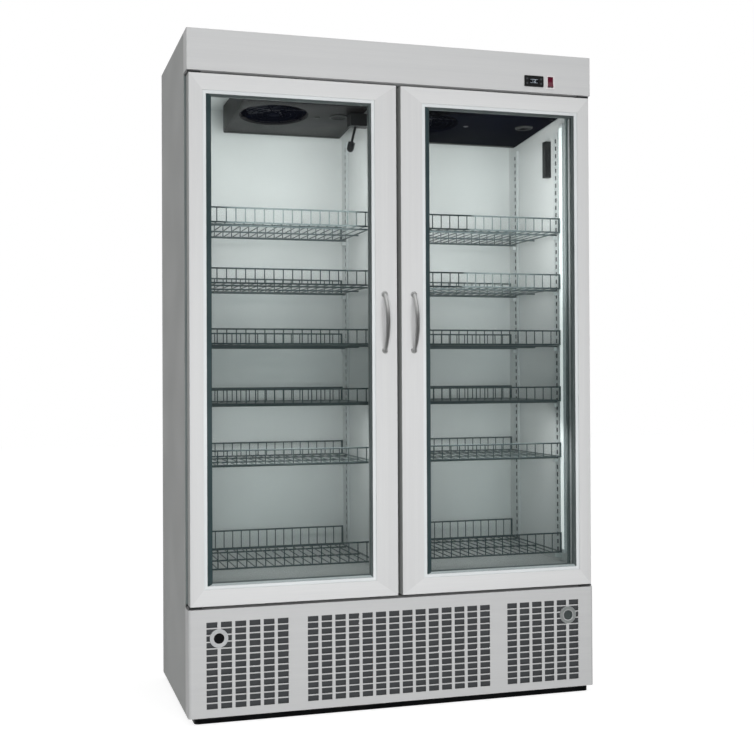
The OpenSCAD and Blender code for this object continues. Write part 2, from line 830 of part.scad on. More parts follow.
module refrigerant_pipes() {
    top = z_machine - fit;
    // The lines leave the lowest and the highest right-hand bend of the condenser
    row_pitch = condenser_h / condenser_rows;
    out_x = condenser_x + condenser_w / 2 - condenser_end_t / 2 + coil_stub + row_pitch / 2 + pipe_r + fit;
    low_z = condenser_z + row_pitch;
    high_z = condenser_z + condenser_h - row_pitch;
    shell_x = compressor_x - compressor_r - 1;
    shell_y = compressor_y - compressor_r - 1;
    rise_x = shell_x - 11;
    suction_y = shell_y - 39;
    // Heights of the compressor's two ports
    hot_port_z = 90;
    suction_port_z = 120;
    drier_low = 110;
    drier_h = 110;
    drier_x = -60;
    drier_y = condenser_y + condenser_d / 4;
    hot_y = condenser_y + 3 * condenser_d / 4;
    color("#b56b3f") {
        // Discharge line to the condenser
        pipe([[shell_x, compressor_y, hot_port_z], [rise_x, compressor_y, hot_port_z],
            [rise_x, compressor_y, high_z], [rise_x, hot_y, high_z], [out_x, hot_y, high_z]], pipe_r);
        // Liquid line through the drier, and the fine line up into the floor of the cabinet
        pipe([[out_x, drier_y, low_z], [drier_x, drier_y, low_z], [drier_x, drier_y, top]], pipe_r);
        translate([drier_x, drier_y, drier_low]) cylinder(r = 3 * pipe_r, h = drier_h);
        // Suction line back from the cabinet
        pipe([[compressor_x, shell_y, suction_port_z], [compressor_x, suction_y, suction_port_z],
            [compressor_x, suction_y, top]], pipe_r + 1);
    }
}

module evaporation_pan() {
    color("#44484a") translate([pan_x, pan_y, tray_z]) difference() {
        translate([-pan_w / 2, -pan_d / 2, 0]) cube([pan_w, pan_d, pan_h]);
        translate([-pan_w / 2 + pan_wall, -pan_d / 2 + pan_wall, pan_wall])
            cube([pan_w - 2 * pan_wall, pan_d - 2 * pan_wall, pan_h]);
    }
}

module junction_box() {
    y1 = y_back - sheet_t - fit;
    y0 = y1 - box_d;
    bore_r = gland_r - 4;
    leg_w = 40;
    color("#55595b") {
        difference() {
            block([box_x - box_w / 2, y0, box_z - box_h / 2], [box_x + box_w / 2, y1, box_z + box_h / 2]);
            translate([box_x, y_back - box_d / 2, box_z]) rotate([-90, 0, 0]) cylinder(r = bore_r, h = box_d);
        }
        // Cable gland, flush with the back
        translate([box_x, y1 - past, box_z]) rotate([-90, 0, 0]) difference() {
            cylinder(r = gland_r, h = sheet_t + fit + past);
            translate([0, 0, -past]) cylinder(r = bore_r, h = 4 * past + sheet_t);
        }
        // Leg that carries the box on the base tray
        block([box_x - leg_w / 2, y0, tray_z], [box_x + leg_w / 2, y0 + 3, box_z - box_h / 2 + past]);
    }
}

// Middle of the fan in a ceiling unit of width w about cx
function fan_at(cx, w) = [cx - w / 2 + unit_fan_side_in, unit_fan_y];

// Height of a ceiling unit's floor, which slopes down from its front edge to its rear edge
function unit_floor(y) = z_unit + (unit_h - unit_front_h) * (y_unit + unit_d - y) / unit_d;

// A solid ceiling unit from x0 to x1, drawn in by inset at its front, rear and floor
module unit_body(x0, x1, inset, z_top) {
    y0 = y_unit + inset;
    y1 = y_unit + unit_d - inset;
    translate([x0, 0, 0]) rotate([90, 0, 90]) linear_extrude(x1 - x0)
        polygon([[y0, unit_floor(y0) + inset], [y1, unit_floor(y1) + inset], [y1, z_top], [y0, z_top]]);
}

module fan_covers() {
    ceiling_unit_cover(unit_left_x, unit_left_w);
    ceiling_unit_cover(unit_right_x, unit_right_w);
}

module ceiling_unit_cover(cx, w) {
    ring_count = 3;
    fan = fan_at(cx, w);
    slope = atan((unit_h - unit_front_h) / unit_d);
    color("#b9bdbd") {
        difference() {
            unit_body(cx - w / 2, cx + w / 2, 0, z_ceiling - fit);
            unit_body(cx - w / 2 + unit_sheet, cx + w / 2 - unit_sheet, unit_sheet, z_ceiling + past);
            translate([fan[0], fan[1], z_unit - past])
                cylinder(d = unit_fan_d, h = unit_h - unit_front_h + unit_sheet + 2 * past);
        }
        // Wire guard across the fan opening
        translate([fan[0], fan[1], unit_floor(fan[1]) + unit_sheet - guard_d * 0.2]) rotate([-slope, 0, 0]) {
            for (i = [1:ring_count])
                rotate_extrude() translate([i * unit_fan_d / 2 / (ring_count + 1), 0])
                    circle(d = guard_d, $fn = 24);
            for (a = [45, 135])
                translate([0, 0, guard_d * 0.6]) rotate([0, 90, a])
                    cylinder(d = guard_d, h = unit_fan_d + 6, center = true, $fn = 24);
        }
    }
}

module evaporator_coils() {
    evaporator_coil(unit_left_x + unit_left_w / 2 - unit_coil_w / 2 - 14);
    evaporator_coil(unit_right_x + unit_right_w / 2 - unit_coil_w / 2 - 30);
}

module evaporator_coil(cx) {
    color("#9fa5a8")
        translate([cx, y_unit + unit_d / 2, z_ceiling - fit - unit_coil_h]) rotate([0, 0, 90])
            translate([0, -unit_coil_w / 2, 0])
                fin_pack(unit_coil_d, unit_coil_w, unit_coil_h, coil_fins, coil_rows,
                    [unit_coil_w / 5, unit_coil_w / 2, 4 * unit_coil_w / 5], 1, 1.5);
}

// Hub and blades about the z axis, the hub's lower face at z = 0
module fan_rotor(blade_r, chord) {
    difference() {
        union() {
            cylinder(r = hub_r, h = hub_h);
            for (i = [0:blade_count - 1])
                rotate([0, 0, i * 360 / blade_count])
                    translate([hub_r - 4, 0, hub_h / 2]) rotate([blade_tilt, 0, 0])
                        translate([0, -chord / 2, -blade_t / 2])
                            cube([blade_tip(blade_r, chord) - hub_r + 4, chord, blade_t]);
        }
        translate([0, 0, -past]) cylinder(r = shaft_r + pin_clear, h = hub_h + 2 * past);
    }
}

// Reach of a flat blade whose corners stay inside the blade circle
function blade_tip(r, chord) = sqrt(r * r - pow(chord * cos(blade_tilt) / 2, 2));

module ceiling_fan(cx, w) {
    color("#26282a") translate([fan_at(cx, w)[0], fan_at(cx, w)[1], fan_z]) fan_rotor(unit_blade_r, 44);
}

module ceiling_fan_left() {
    ceiling_fan(unit_left_x, unit_left_w);
}

module ceiling_fan_right() {
    ceiling_fan(unit_right_x, unit_right_w);
}

module condenser_fan() {
    color("#26282a") translate([condenser_x, cool_fan_y - hub_h / 2, cool_fan_z]) rotate([-90, 0, 0])
        fan_rotor(cool_blade_r, 40);
}

module fan_motors() {
    motor_y = cool_fan_y + hub_h / 2 + 4;
    stand_w = 40;
    stand_t = 4;
    stand_y = motor_y + 14;
    shaft_z = fan_z + 2;
    color("#3f4447") {
        for (fan = [fan_at(unit_left_x, unit_left_w), fan_at(unit_right_x, unit_right_w)])
            translate([fan[0], fan[1], 0]) {
                translate([0, 0, z_ceiling - fit - unit_motor_h]) cylinder(r = motor_r, h = unit_motor_h);
                translate([0, 0, shaft_z])
                    cylinder(r = shaft_r, h = z_ceiling - unit_motor_h + past - shaft_z);
            }
        // Condenser fan's motor on its stand
        translate([condenser_x, motor_y, cool_fan_z]) rotate([-90, 0, 0]) {
            cylinder(r = motor_r, h = cool_motor_l);
            translate([0, 0, -hub_h - 2]) cylinder(r = shaft_r, h = hub_h + 4);
        }
        block([condenser_x - stand_w / 2, stand_y, tray_z],
            [condenser_x + stand_w / 2, stand_y + stand_t, cool_fan_z - motor_r + stand_t]);
        block([condenser_x - stand_w, motor_y, tray_z],
            [condenser_x + stand_w, motor_y + cool_motor_l, tray_z + 3]);
    }
}

module lamps() {
    lamp_w = 28;
    lamp_t = upright_t;
    lamp_y = y_room_front + 3;
    color("#f2f5f4") block_pair([x_in - lamp_t, lamp_y, z_floor + 30],
        [x_in - fit, lamp_y + lamp_w, z_unit + 12]);
}

module air_probes() {
    box_w = 62;
    box_d = 46;
    box_low = z_unit - 16;
    box_x = -x_part - 10;
    box_y = y_unit + 53;
    box_high = unit_floor(box_y + box_d) - fit;
    lead_in = 41;
    lead_lean = 13.5;
    lead_len = 72;
    lead_r = 4;
    bulb_r = 11;
    bulb_h = 20;
    probe_w = 20;
    probe_x = x_in - fit;
    probe_y = y_face + 117;
    color("#121415") {
        // Left: a terminal box under the ceiling unit, and a probe on a lead that leans away from the partition
        block([box_x - box_w, box_y, box_low], [box_x, box_y + box_d, box_high]);
        translate([box_x - lead_in, box_y + box_d / 2, box_low + past]) rotate([0, 180 + lead_lean, 0]) {
            cylinder(r = lead_r, h = lead_len);
            translate([0, 0, lead_len - bulb_h]) cylinder(r = bulb_r, h = bulb_h);
            translate([0, 0, lead_len]) sphere(r = bulb_r);
        }
        // Right: a probe housing on the wall
        block([probe_x - probe_w, probe_y, z_unit - 146], [probe_x, probe_y + 24, z_unit - 28]);
    }
}

// Where the shelf rails stand: on both walls of each compartment, front and rear
module upright_places() {
    for (side = [-1, 1], x = [x_part, x_in], y = [y_upright_front, y_upright_back])
        scale([side, 1, 1]) translate([x, y, 0]) scale([x == x_part ? 1 : -1, 1, 1]) children();
}

module shelf_rails() {
    slot_w = 12;
    slot_h = 14;
    h = upright_z1 - upright_z0;
    color("#b4b8b8") upright_places() difference() {
        translate([fit, -upright_w / 2, upright_z0]) cube([upright_t - fit, upright_w, h]);
        translate([-past, -upright_w / 2 + upright_skin, upright_z0 - past])
            cube([upright_t - upright_skin + past, upright_w - 2 * upright_skin, h + 2 * past]);
        for (i = [0:upright_slots - 1])
            translate([0, -slot_w / 2, upright_z0 + 20 + i * upright_pitch])
                cube([upright_t + past, slot_w, slot_h]);
    }
}

// Height of the floor of a shelf, counted from the top, and of the bottom basket
function shelf_z(i) =
    z_floor + (i > shelf_count ? basket_z : first_shelf_z + (shelf_count - i) * shelf_pitch);

module shelf_clips() {
    color("#9b9f9f") for (i = [1:shelf_count + 1])
        upright_places() {
            z = shelf_z(i) + rod_z - rod_d / 2;
            translate([upright_t + fit / 2, -clip_w / 2, z - clip_h]) cube([clip_reach, clip_w, clip_h]);
        }
}

// One side fence of wires between two rails, its lower rail at z = 0
module shelf_fence(y, h) {
    translate([0, y, 0]) {
        for (z = [0, h])
            translate([-shelf_w / 2, 0, z]) rotate([0, 90, 0]) cylinder(d = rail_d, h = shelf_w, $fn = 24);
        for (i = [0:wires])
            translate([wire_x0 + i * wire_pitch - wire_t / 2, -wire_t / 2, 0]) cube([wire_t, wire_t, h]);
    }
}

module shelf(side, i) {
    h = i > shelf_count ? basket_fence_h : fence_h;
    rods = [y_upright_front - y_shelf, shelf_d / 2, y_upright_back - y_shelf];
    color("#6d7674") translate([side * x_mid, y_shelf, shelf_z(i)]) {
        for (k = [0:wires])
            translate([wire_x0 + k * wire_pitch - wire_t / 2, rail_d + fence_gap, -wire_t / 2])
                cube([wire_t, shelf_d - 2 * (rail_d + fence_gap), wire_t]);
        for (y = rods)
            translate([-shelf_w / 2, y, rod_z]) rotate([0, 90, 0]) cylinder(d = rod_d, h = shelf_w, $fn = 24);
        shelf_fence(rail_d / 2, h);
        shelf_fence(shelf_d - rail_d / 2, h);
    }
}

module hinge_bracket() {
    leg_t = 3;
    leg_w = 22;
    leg_h = 56;
    x0 = pivot_x - bracket_w / 2;
    x1 = x_out - 3;
    plate_front = y_front + 8;
    leg_x1 = min(pivot_x + 18, x_out - 5);
    for (top = [0, 1]) {
        plate_z = (top == 1 ? z_door_high : z_door_low - door_end_gap) + (door_end_gap - bracket_t) / 2;
        pin_z0 = top == 1 ? z_door_high - pin_len : plate_z + bracket_t / 2;
        pin_z1 = top == 1 ? plate_z + bracket_t / 2 : z_door_low + pin_len;
        leg_z0 = top == 1 ? plate_z - leg_h : plate_z;
        block([x0, plate_front, plate_z], [x1, y_face - fit, plate_z + bracket_t]);
        translate([pivot_x, pivot_y, pin_z0]) cylinder(r = pin_r, h = pin_z1 - pin_z0);
        block([leg_x1 - leg_w, y_face - fit - leg_t, leg_z0],
            [leg_x1, y_face - fit, leg_z0 + leg_h + bracket_t]);
    }
}

module hinge_brackets() {
    color("#7d8284") {
        hinge_bracket();
        mirror([1, 0, 0]) hinge_bracket();
    }
}

// Cross-section of a door bar, x = 0 on its outer edge, y = 0 on its front face
module door_section(w, hollow) {
    difference() {
        square([w, door_t]);
        translate([w - glass_edge, front_lip]) square([glass_edge + past, groove_w]);
        if (hollow)
            translate([profile_wall, profile_wall])
                square([w - glass_edge - 2 * profile_wall, door_t - 2 * profile_wall]);
    }
}

// A stile that runs up from z = 0, closed at both ends
module door_stile(w) {
    linear_extrude(plug_len) door_section(w, false);
    translate([0, 0, plug_len - past / 10]) linear_extrude(door_h - 2 * plug_len + past / 5)
        door_section(w, true);
    translate([0, 0, door_h - plug_len]) linear_extrude(plug_len) door_section(w, false);
}

// The right door; the left door is its mirror image
module door_frame() {
    len = glass_w - 2 * joint_gap;
    bore_len = pin_len + 3;
    color("#d6d8d8") translate([0, y_front, z_door_low]) {
        difference() {
            translate([door_x_out, 0, 0]) mirror([1, 0, 0]) door_stile(stile_outer_w);
            for (z = [-past, door_h - bore_len])
                translate([pivot_x, door_t / 2, z]) cylinder(r = pin_r + pin_clear, h = bore_len + past);
        }
        translate([door_x_in, 0, 0]) door_stile(stile_inner_w);
        translate([door_x_in + stile_inner_w + joint_gap, 0, 0])
            rotate([90, 0, 90]) linear_extrude(len) rotate([0, 0, 90]) mirror([0, 1, 0])
                door_section(rail_h, true);
        translate([door_x_in + stile_inner_w + joint_gap, 0, door_h])
            rotate([90, 0, 90]) linear_extrude(len) mirror([0, 1, 0]) rotate([0, 0, 90]) mirror([0, 1, 0])
                door_section(rail_h, true);
    }
}

module door_frame_right() {
    door_frame();
}

module door_frame_left() {
    mirror([1, 0, 0]) door_frame();
}

// Sealed unit of two panes and a spacer
module door_glass() {
    reach = glass_edge - 1;
    inset = 2;
    inner = inset + spacer_w;
    x0 = door_x_in + stile_inner_w - reach;
    x1 = door_x_out - stile_outer_w + reach;
    z0 = z_door_low + rail_h - reach;
    z1 = z_door_high - rail_h + reach;
    y0 = y_front + front_lip + glass_clear;
    y1 = y0 + pane_t + joint_gap;
    y2 = y1 + pane_space + joint_gap;
    color("#bcd6d0") {
        block([x0, y0, z0], [x1, y0 + pane_t, z1]);
        block([x0, y2, z0], [x1, y2 + pane_t, z1]);
        difference() {
            block([x0 + inset, y1, z0 + inset], [x1 - inset, y1 + pane_space, z1 - inset]);
            block([x0 + inner, y1 - past, z0 + inner], [x1 - inner, y1 + pane_space + past, z1 - inner]);
        }
    }
}

module door_glass_right() {
    door_glass();
}

module door_glass_left() {
    mirror([1, 0, 0]) door_glass();
}

// Hollow gasket bar from one corner to the other
module gasket_bar(low, high) {
    difference() {
        block(low, high);
        if (high[2] - low[2] > high[0] - low[0])
            block(low + [gasket_wall, gasket_wall, -past], high + [-gasket_wall, -gasket_wall, past]);
        else
            block(low + [-past, gasket_wall, gasket_wall], high + [past, -gasket_wall, -gasket_wall]);
    }
}

module door_gasket() {
    x0 = gasket_in_x - gasket_w;
    x1 = gasket_hinge_x;
    z0 = z_door_low + gasket_edge;
    z1 = z_door_high - gasket_edge;
    y0 = y_door_back + fit;
    y1 = y_face - gasket_clear;
    color("#7f8486") {
        gasket_bar([x0, y0, z0], [x0 + gasket_w, y1, z1]);
        gasket_bar([x1 - gasket_w, y0, z0], [x1, y1, z1]);
        gasket_bar([x0 + gasket_w + joint_gap, y0, z0], [x1 - gasket_w - joint_gap, y1, z0 + gasket_w]);
        gasket_bar([x0 + gasket_w + joint_gap, y0, z1 - gasket_w], [x1 - gasket_w - joint_gap, y1, z1]);
    }
}

module door_gasket_right() {
    door_gasket();
}

module door_gasket_left() {
    mirror([1, 0, 0]) door_gasket();
}

// A bow whose ends stand on round feet
module door_handle() {
    sag = handle_reach - handle_r - handle_foot_h + 1;
    half = handle_span / 2;
    bow_r = (half * half + sag * sag) / (2 * sag);
    half_angle = asin(half / bow_r);
    color("#c9cccd") translate([handle_x, y_front, handle_z]) {
        translate([0, bow_r - sag - handle_foot_h + 1, 0]) rotate([0, 90, 0]) rotate([0, 0, 270 - half_angle])
            rotate_extrude(angle = 2 * half_angle) translate([bow_r, 0]) circle(r = handle_r, $fn = 32);
        for (side = [-1, 1])
            translate([0, 0, side * half]) rotate([90, 0, 0])
                cylinder(r = handle_foot_r, h = handle_foot_h + 2);
    }
}

module door_handle_right() {
    door_handle();
}

module door_handle_left() {
    mirror([1, 0, 0]) door_handle();
}

module slot_columns(x0, columns) {
    for (i = [0:columns - 1])
        translate([x0 + i * slot_column_pitch, -past, slot_first_z])
            cube([slot_w, sheet_t + 2 * past, slot_field_h]);
}

module slot_bars(x0, field_w) {
    bar_h = slot_row_pitch - slot_h;
    for (i = [0:slot_rows - 2])
        translate([x0 - past, 0, slot_first_z + slot_h + i * slot_row_pitch])
            cube([field_w + 2 * past, sheet_t, bar_h]);
}

module lower_panel() {
    color("#c3c5c5") difference() {
        union() {
            translate([0, y_front, plinth_h]) {
                difference() {
                    linear_extrude(panel_h) bent_outline(width, panel_d, panel_r);
                    translate([0, sheet_t, -past]) linear_extrude(panel_h - sheet_t + past)
                        bent_outline(width - 2 * sheet_t, panel_d, panel_r - sheet_t);
                    slot_columns(-side_field_x, side_columns);
                    slot_columns(-middle_field_w / 2, middle_columns);
                    slot_columns(side_field_x - side_field_w, side_columns);
                }
                slot_bars(-side_field_x, side_field_w);
                slot_bars(-middle_field_w / 2, middle_field_w);
                slot_bars(side_field_x - side_field_w, side_field_w);
            }
            // Seats and rings of the two locks
            for (side = [-1, 1])
                translate([side * lock_x, y_front + lock_seat_t, plinth_h + lock_z]) rotate([90, 0, 0])
                    cylinder(d = lock_ring_d, h = lock_seat_t + lock_ring_t);
            // Ears that turn on the tilt pins
            for (side = [-1, 1])
                scale([side, 1, 1]) translate([ear_x, panel_axis_y, panel_axis_z])
                    rotate([90, 0, 90]) linear_extrude(ear_t) {
                        circle(r = ear_r);
                        translate([y_front - panel_axis_y + sheet_t / 2, -ear_r])
                            square([panel_axis_y - y_front, 2 * ear_r]);
                    }
        }
        for (side = [-1, 1]) {
            translate([side * lock_x, y_front, plinth_h + lock_z]) rotate([90, 0, 0]) {
                cylinder(d = lock_core_d + 4 * fit, h = lock_ring_t + past);
                translate([0, 0, -lock_seat_t - past])
                    cylinder(r = lock_shaft_r + pin_clear, h = lock_seat_t + 2 * past);
            }
            translate([side * (ear_x + ear_t / 2), panel_axis_y, panel_axis_z]) rotate([0, 90, 0])
                cylinder(r = tilt_pin_r + pin_clear, h = 3 * ear_t, center = true);
        }
    }
}

// Quarter-turn lock: core, shaft and the cam behind the panel, hanging down when unlocked
module panel_lock(side) {
    square_w = 16;
    color("#2e3133") translate([side * lock_x, y_front, plinth_h + lock_z]) rotate([90, 0, 0]) {
        difference() {
            translate([0, 0, fit]) cylinder(d = lock_core_d, h = lock_ring_t - fit);
            translate([-square_w / 2, -square_w / 2, lock_ring_t - 1.5]) cube([square_w, square_w, 3]);
        }
        translate([0, 0, -lock_shaft_len]) cylinder(r = lock_shaft_r, h = lock_shaft_len + 1);
        translate([-lock_cam_w / 2, -lock_cam_len, -lock_shaft_len])
            cube([lock_cam_w, lock_cam_len + lock_cam_w / 2, lock_cam_t]);
    }
}

module panel_lock_right() {
    panel_lock(1);
}

module panel_lock_left() {
    panel_lock(-1);
}

base_frame();
levelling_feet();
side_panel_left();
side_panel_right();
back_panel();
rear_grille();
top_panel();
foam_insulation();
compartment_liners();
front_frame();
header_fascia();
thermostat_case();
thermostat_window();
switch_housing();
condenser();
condenser_shroud();
compressor();
compressor_mounts();
refrigerant_pipes();
evaporation_pan();
junction_box();
evaporator_coils();
fan_covers();
fan_motors();
lamps();
air_probes();
shelf_rails();
shelf_clips();
shelf(-1, 1);  // shelf_left_1
shelf(-1, 2);  // shelf_left_2
shelf(-1, 3);  // shelf_left_3
shelf(-1, 4);  // shelf_left_4
shelf(-1, 5);  // shelf_left_5
shelf(-1, 6);  // basket_left
shelf(1, 1);  // shelf_right_1
shelf(1, 2);  // shelf_right_2
shelf(1, 3);  // shelf_right_3
shelf(1, 4);  // shelf_right_4
shelf(1, 5);  // shelf_right_5
shelf(1, 6);  // basket_right
hinge_brackets();
door_frame_left();
door_frame_right();
door_glass_left();
door_glass_right();
door_gasket_left();
door_gasket_right();
door_handle_left();
door_handle_right();
lower_panel();
panel_lock_left();
panel_lock_right();
condenser_fan();
ceiling_fan_left();
ceiling_fan_right();
switch_rocker();
button(1, 1);  // button_up
button(1, -1);  // button_down
button(-1, -1);  // button_set
button(-1, 1);  // button_defrost
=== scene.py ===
# Two-door display refrigerator: finishes, close-up parts, light and camera
import math
import bpy
import bmesh
from mathutils import Matrix, Vector


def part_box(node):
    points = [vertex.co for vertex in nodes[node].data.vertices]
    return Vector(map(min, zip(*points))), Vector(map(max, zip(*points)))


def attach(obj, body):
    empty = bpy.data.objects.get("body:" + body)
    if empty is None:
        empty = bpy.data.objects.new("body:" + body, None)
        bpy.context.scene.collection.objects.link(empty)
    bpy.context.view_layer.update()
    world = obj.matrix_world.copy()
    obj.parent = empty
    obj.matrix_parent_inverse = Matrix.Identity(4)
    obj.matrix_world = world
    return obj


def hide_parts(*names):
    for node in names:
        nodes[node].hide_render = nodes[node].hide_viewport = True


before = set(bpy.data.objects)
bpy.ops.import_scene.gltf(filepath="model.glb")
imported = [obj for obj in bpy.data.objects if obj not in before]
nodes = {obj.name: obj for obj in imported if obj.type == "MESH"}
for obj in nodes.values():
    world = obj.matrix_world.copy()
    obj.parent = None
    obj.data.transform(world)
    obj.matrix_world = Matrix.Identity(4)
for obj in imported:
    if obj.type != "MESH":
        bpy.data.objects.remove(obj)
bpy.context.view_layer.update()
scene = bpy.context.scene
print("frame loaded:", len(nodes), "nodes")


# Shader nodes and the effects that several finishes share
def feed(tree, node, inputs):
    # An input takes another node's output or a value; a colour gets its alpha here
    for title, value in inputs.items():
        socket = node.inputs[title]
        if isinstance(value, bpy.types.NodeSocket):
            tree.links.new(value, socket)
        else:
            socket.default_value = (*value, 1) if socket.type == "RGBA" else value


def addNode(tree, kind, inputs=None, **settings):
    node = tree.nodes.new(kind)
    for key, value in settings.items():
        setattr(node, key, value)
    feed(tree, node, inputs or {})
    return node


def addNoise(tree, where, scale, detail=2.0, rough=0.5):
    inputs = {"Vector": where, "Scale": scale, "Detail": detail, "Roughness": rough}
    return addNode(tree, "ShaderNodeTexNoise", inputs).outputs["Fac"]


def remap(tree, source, low, high, toLow=0.0, toHigh=1.0):
    inputs = {"Value": source, "From Min": low, "From Max": high, "To Min": toLow, "To Max": toHigh}
    return addNode(tree, "ShaderNodeMapRange", inputs).outputs["Result"]


def combine(tree, kind, first, second):
    return addNode(tree, "ShaderNodeMath", {0: first, 1: second}, operation=kind).outputs["Value"]


def blend(tree, kind, factor, first, second):
    inputs = {"Factor": factor, "A": first, "B": second}
    return addNode(tree, "ShaderNodeMix", inputs, data_type=kind).outputs["Result"]


def weigh(tree, first, firstShare, second, secondShare):
    return combine(tree, "ADD", combine(tree, "MULTIPLY", first, firstShare),
                   combine(tree, "MULTIPLY", second, secondShare))


def newGroup(name, title, value, outputs):
    # Each effect takes the place on the piece and one number
    group = bpy.data.node_groups.new(name, "ShaderNodeTree")
    group.interface.new_socket(name="Vector", in_out="INPUT", socket_type="NodeSocketVector")
    number = group.interface.new_socket(name=title, in_out="INPUT", socket_type="NodeSocketFloat")
    number.default_value = value
    for output in outputs:
        group.interface.new_socket(name=output, in_out="OUTPUT", socket_type="NodeSocketFloat")
    given = group.nodes.new("NodeGroupInput").outputs
    return group, given["Vector"], given[title], group.nodes.new("NodeGroupOutput")


grainValues = dict(scale=1.0, detail=5.0, rough=0.75, broadDetail=3.0, broadScale=0.11, fineShare=0.6,
                   broadShare=0.4, low=0.3, high=0.7)


def makeGrainGroup():
    # Drawn or brushed lines: the Vector is already stretched along the grain
    v = grainValues
    group, where, scale, out = newGroup("drawnGrain", "Scale", v["scale"], ("Tone", "Height"))
    fine = addNoise(group, where, scale, v["detail"], v["rough"])
    broad = addNoise(group, where, combine(group, "MULTIPLY", scale, v["broadScale"]), v["broadDetail"])
    tone = weigh(group, fine, v["fineShare"], broad, v["broadShare"])
    feed(group, out, {"Tone": remap(group, tone, v["low"], v["high"]), "Height": fine})
    return group


peelValues = dict(scale=700.0, patchDetail=4.0, patchScale=5.0, pitScale=0.6, pitDepth=0.5, patchShare=0.7,
                  peelShare=0.3, low=0.35, high=0.65)


def makePeelGroup():
    # Sprayed or moulded skin: soft orange peel with broad patches of tone
    v = peelValues
    group, where, scale, out = newGroup("sprayedSkin", "Scale", v["scale"], ("Tone", "Height"))
    peel = addNoise(group, where, scale)
    patch = addNoise(group, where, v["patchScale"], v["patchDetail"])
    pitSize = combine(group, "MULTIPLY", scale, v["pitScale"])
    pits = addNode(group, "ShaderNodeTexVoronoi", {"Vector": where, "Scale": pitSize}).outputs["Distance"]
    pitted = combine(group, "ADD", peel, combine(group, "MULTIPLY", pits, v["pitDepth"]))
    tone = weigh(group, patch, v["patchShare"], peel, v["peelShare"])
    feed(group, out, {"Tone": remap(group, tone, v["low"], v["high"]), "Height": pitted})
    return group


spangleValues = dict(scale=90.0, warpScale=60.0, cellShare=0.6, warpShare=0.4)


def makeSpangleGroup():
    # Zinc spangle: flat crystals of slightly different tone
    v = spangleValues
    group, where, scale, out = newGroup("zincSpangle", "Scale", v["scale"], ("Tone", "Height"))
    cells = addNode(group, "ShaderNodeTexVoronoi", {"Vector": where, "Scale": scale}, feature="F1")
    split = addNode(group, "ShaderNodeSeparateColor", {"Color": cells.outputs["Color"]})
    warp = addNoise(group, where, v["warpScale"])
    tone = weigh(group, split.outputs["Red"], v["cellShare"], warp, v["warpShare"])
    feed(group, out, {"Tone": tone, "Height": tone})
    return group


dustValues = dict(amount=0.3, scale=24.0, detail=6.0, steep=0.5, low=0.3, high=0.7, least=0.3,
                  tint=(0.42, 0.41, 0.39))


def makeDustGroup():
    # A thin veil on faces that look up, broken up by noise
    v = dustValues
    group, where, amount, out = newGroup("settledDust", "Amount", v["amount"], ("Mask",))
    normal = addNode(group, "ShaderNodeNewGeometry").outputs["Normal"]
    axes = addNode(group, "ShaderNodeSeparateXYZ", {"Vector": normal})
    up = remap(group, axes.outputs["Z"], v["steep"], 1.0)
    patchy = remap(group, addNoise(group, where, v["scale"], v["detail"]), v["low"], v["high"], v["least"])
    veil = combine(group, "MULTIPLY", up, patchy)
    feed(group, out, {"Mask": combine(group, "MULTIPLY", veil, amount)})
    return group


skins = {"grain": makeGrainGroup(), "peel": makePeelGroup(), "spangle": makeSpangleGroup()}
dustGroup = makeDustGroup()

# What a finish has where its own lines say nothing else, and what two families of finishes share
plainFinish = dict(skin="peel", scale=900.0, stretch=(1, 1, 1), rough=(0.35, 0.5), metal=0.0, bump=0.05,
                   bumpDepth=0.0006, coat=0.0, dust=0.0, spec=0.5)
brushedPaint = dict(skin="grain", scale=9.0, stretch=(0.6, 60, 60), rough=(0.34, 0.46), metal=0.04,
                    bump=0.04, dust=0.12, spec=0.15)
turnedMetal = dict(skin="grain", scale=60.0, stretch=(4, 4, 4))

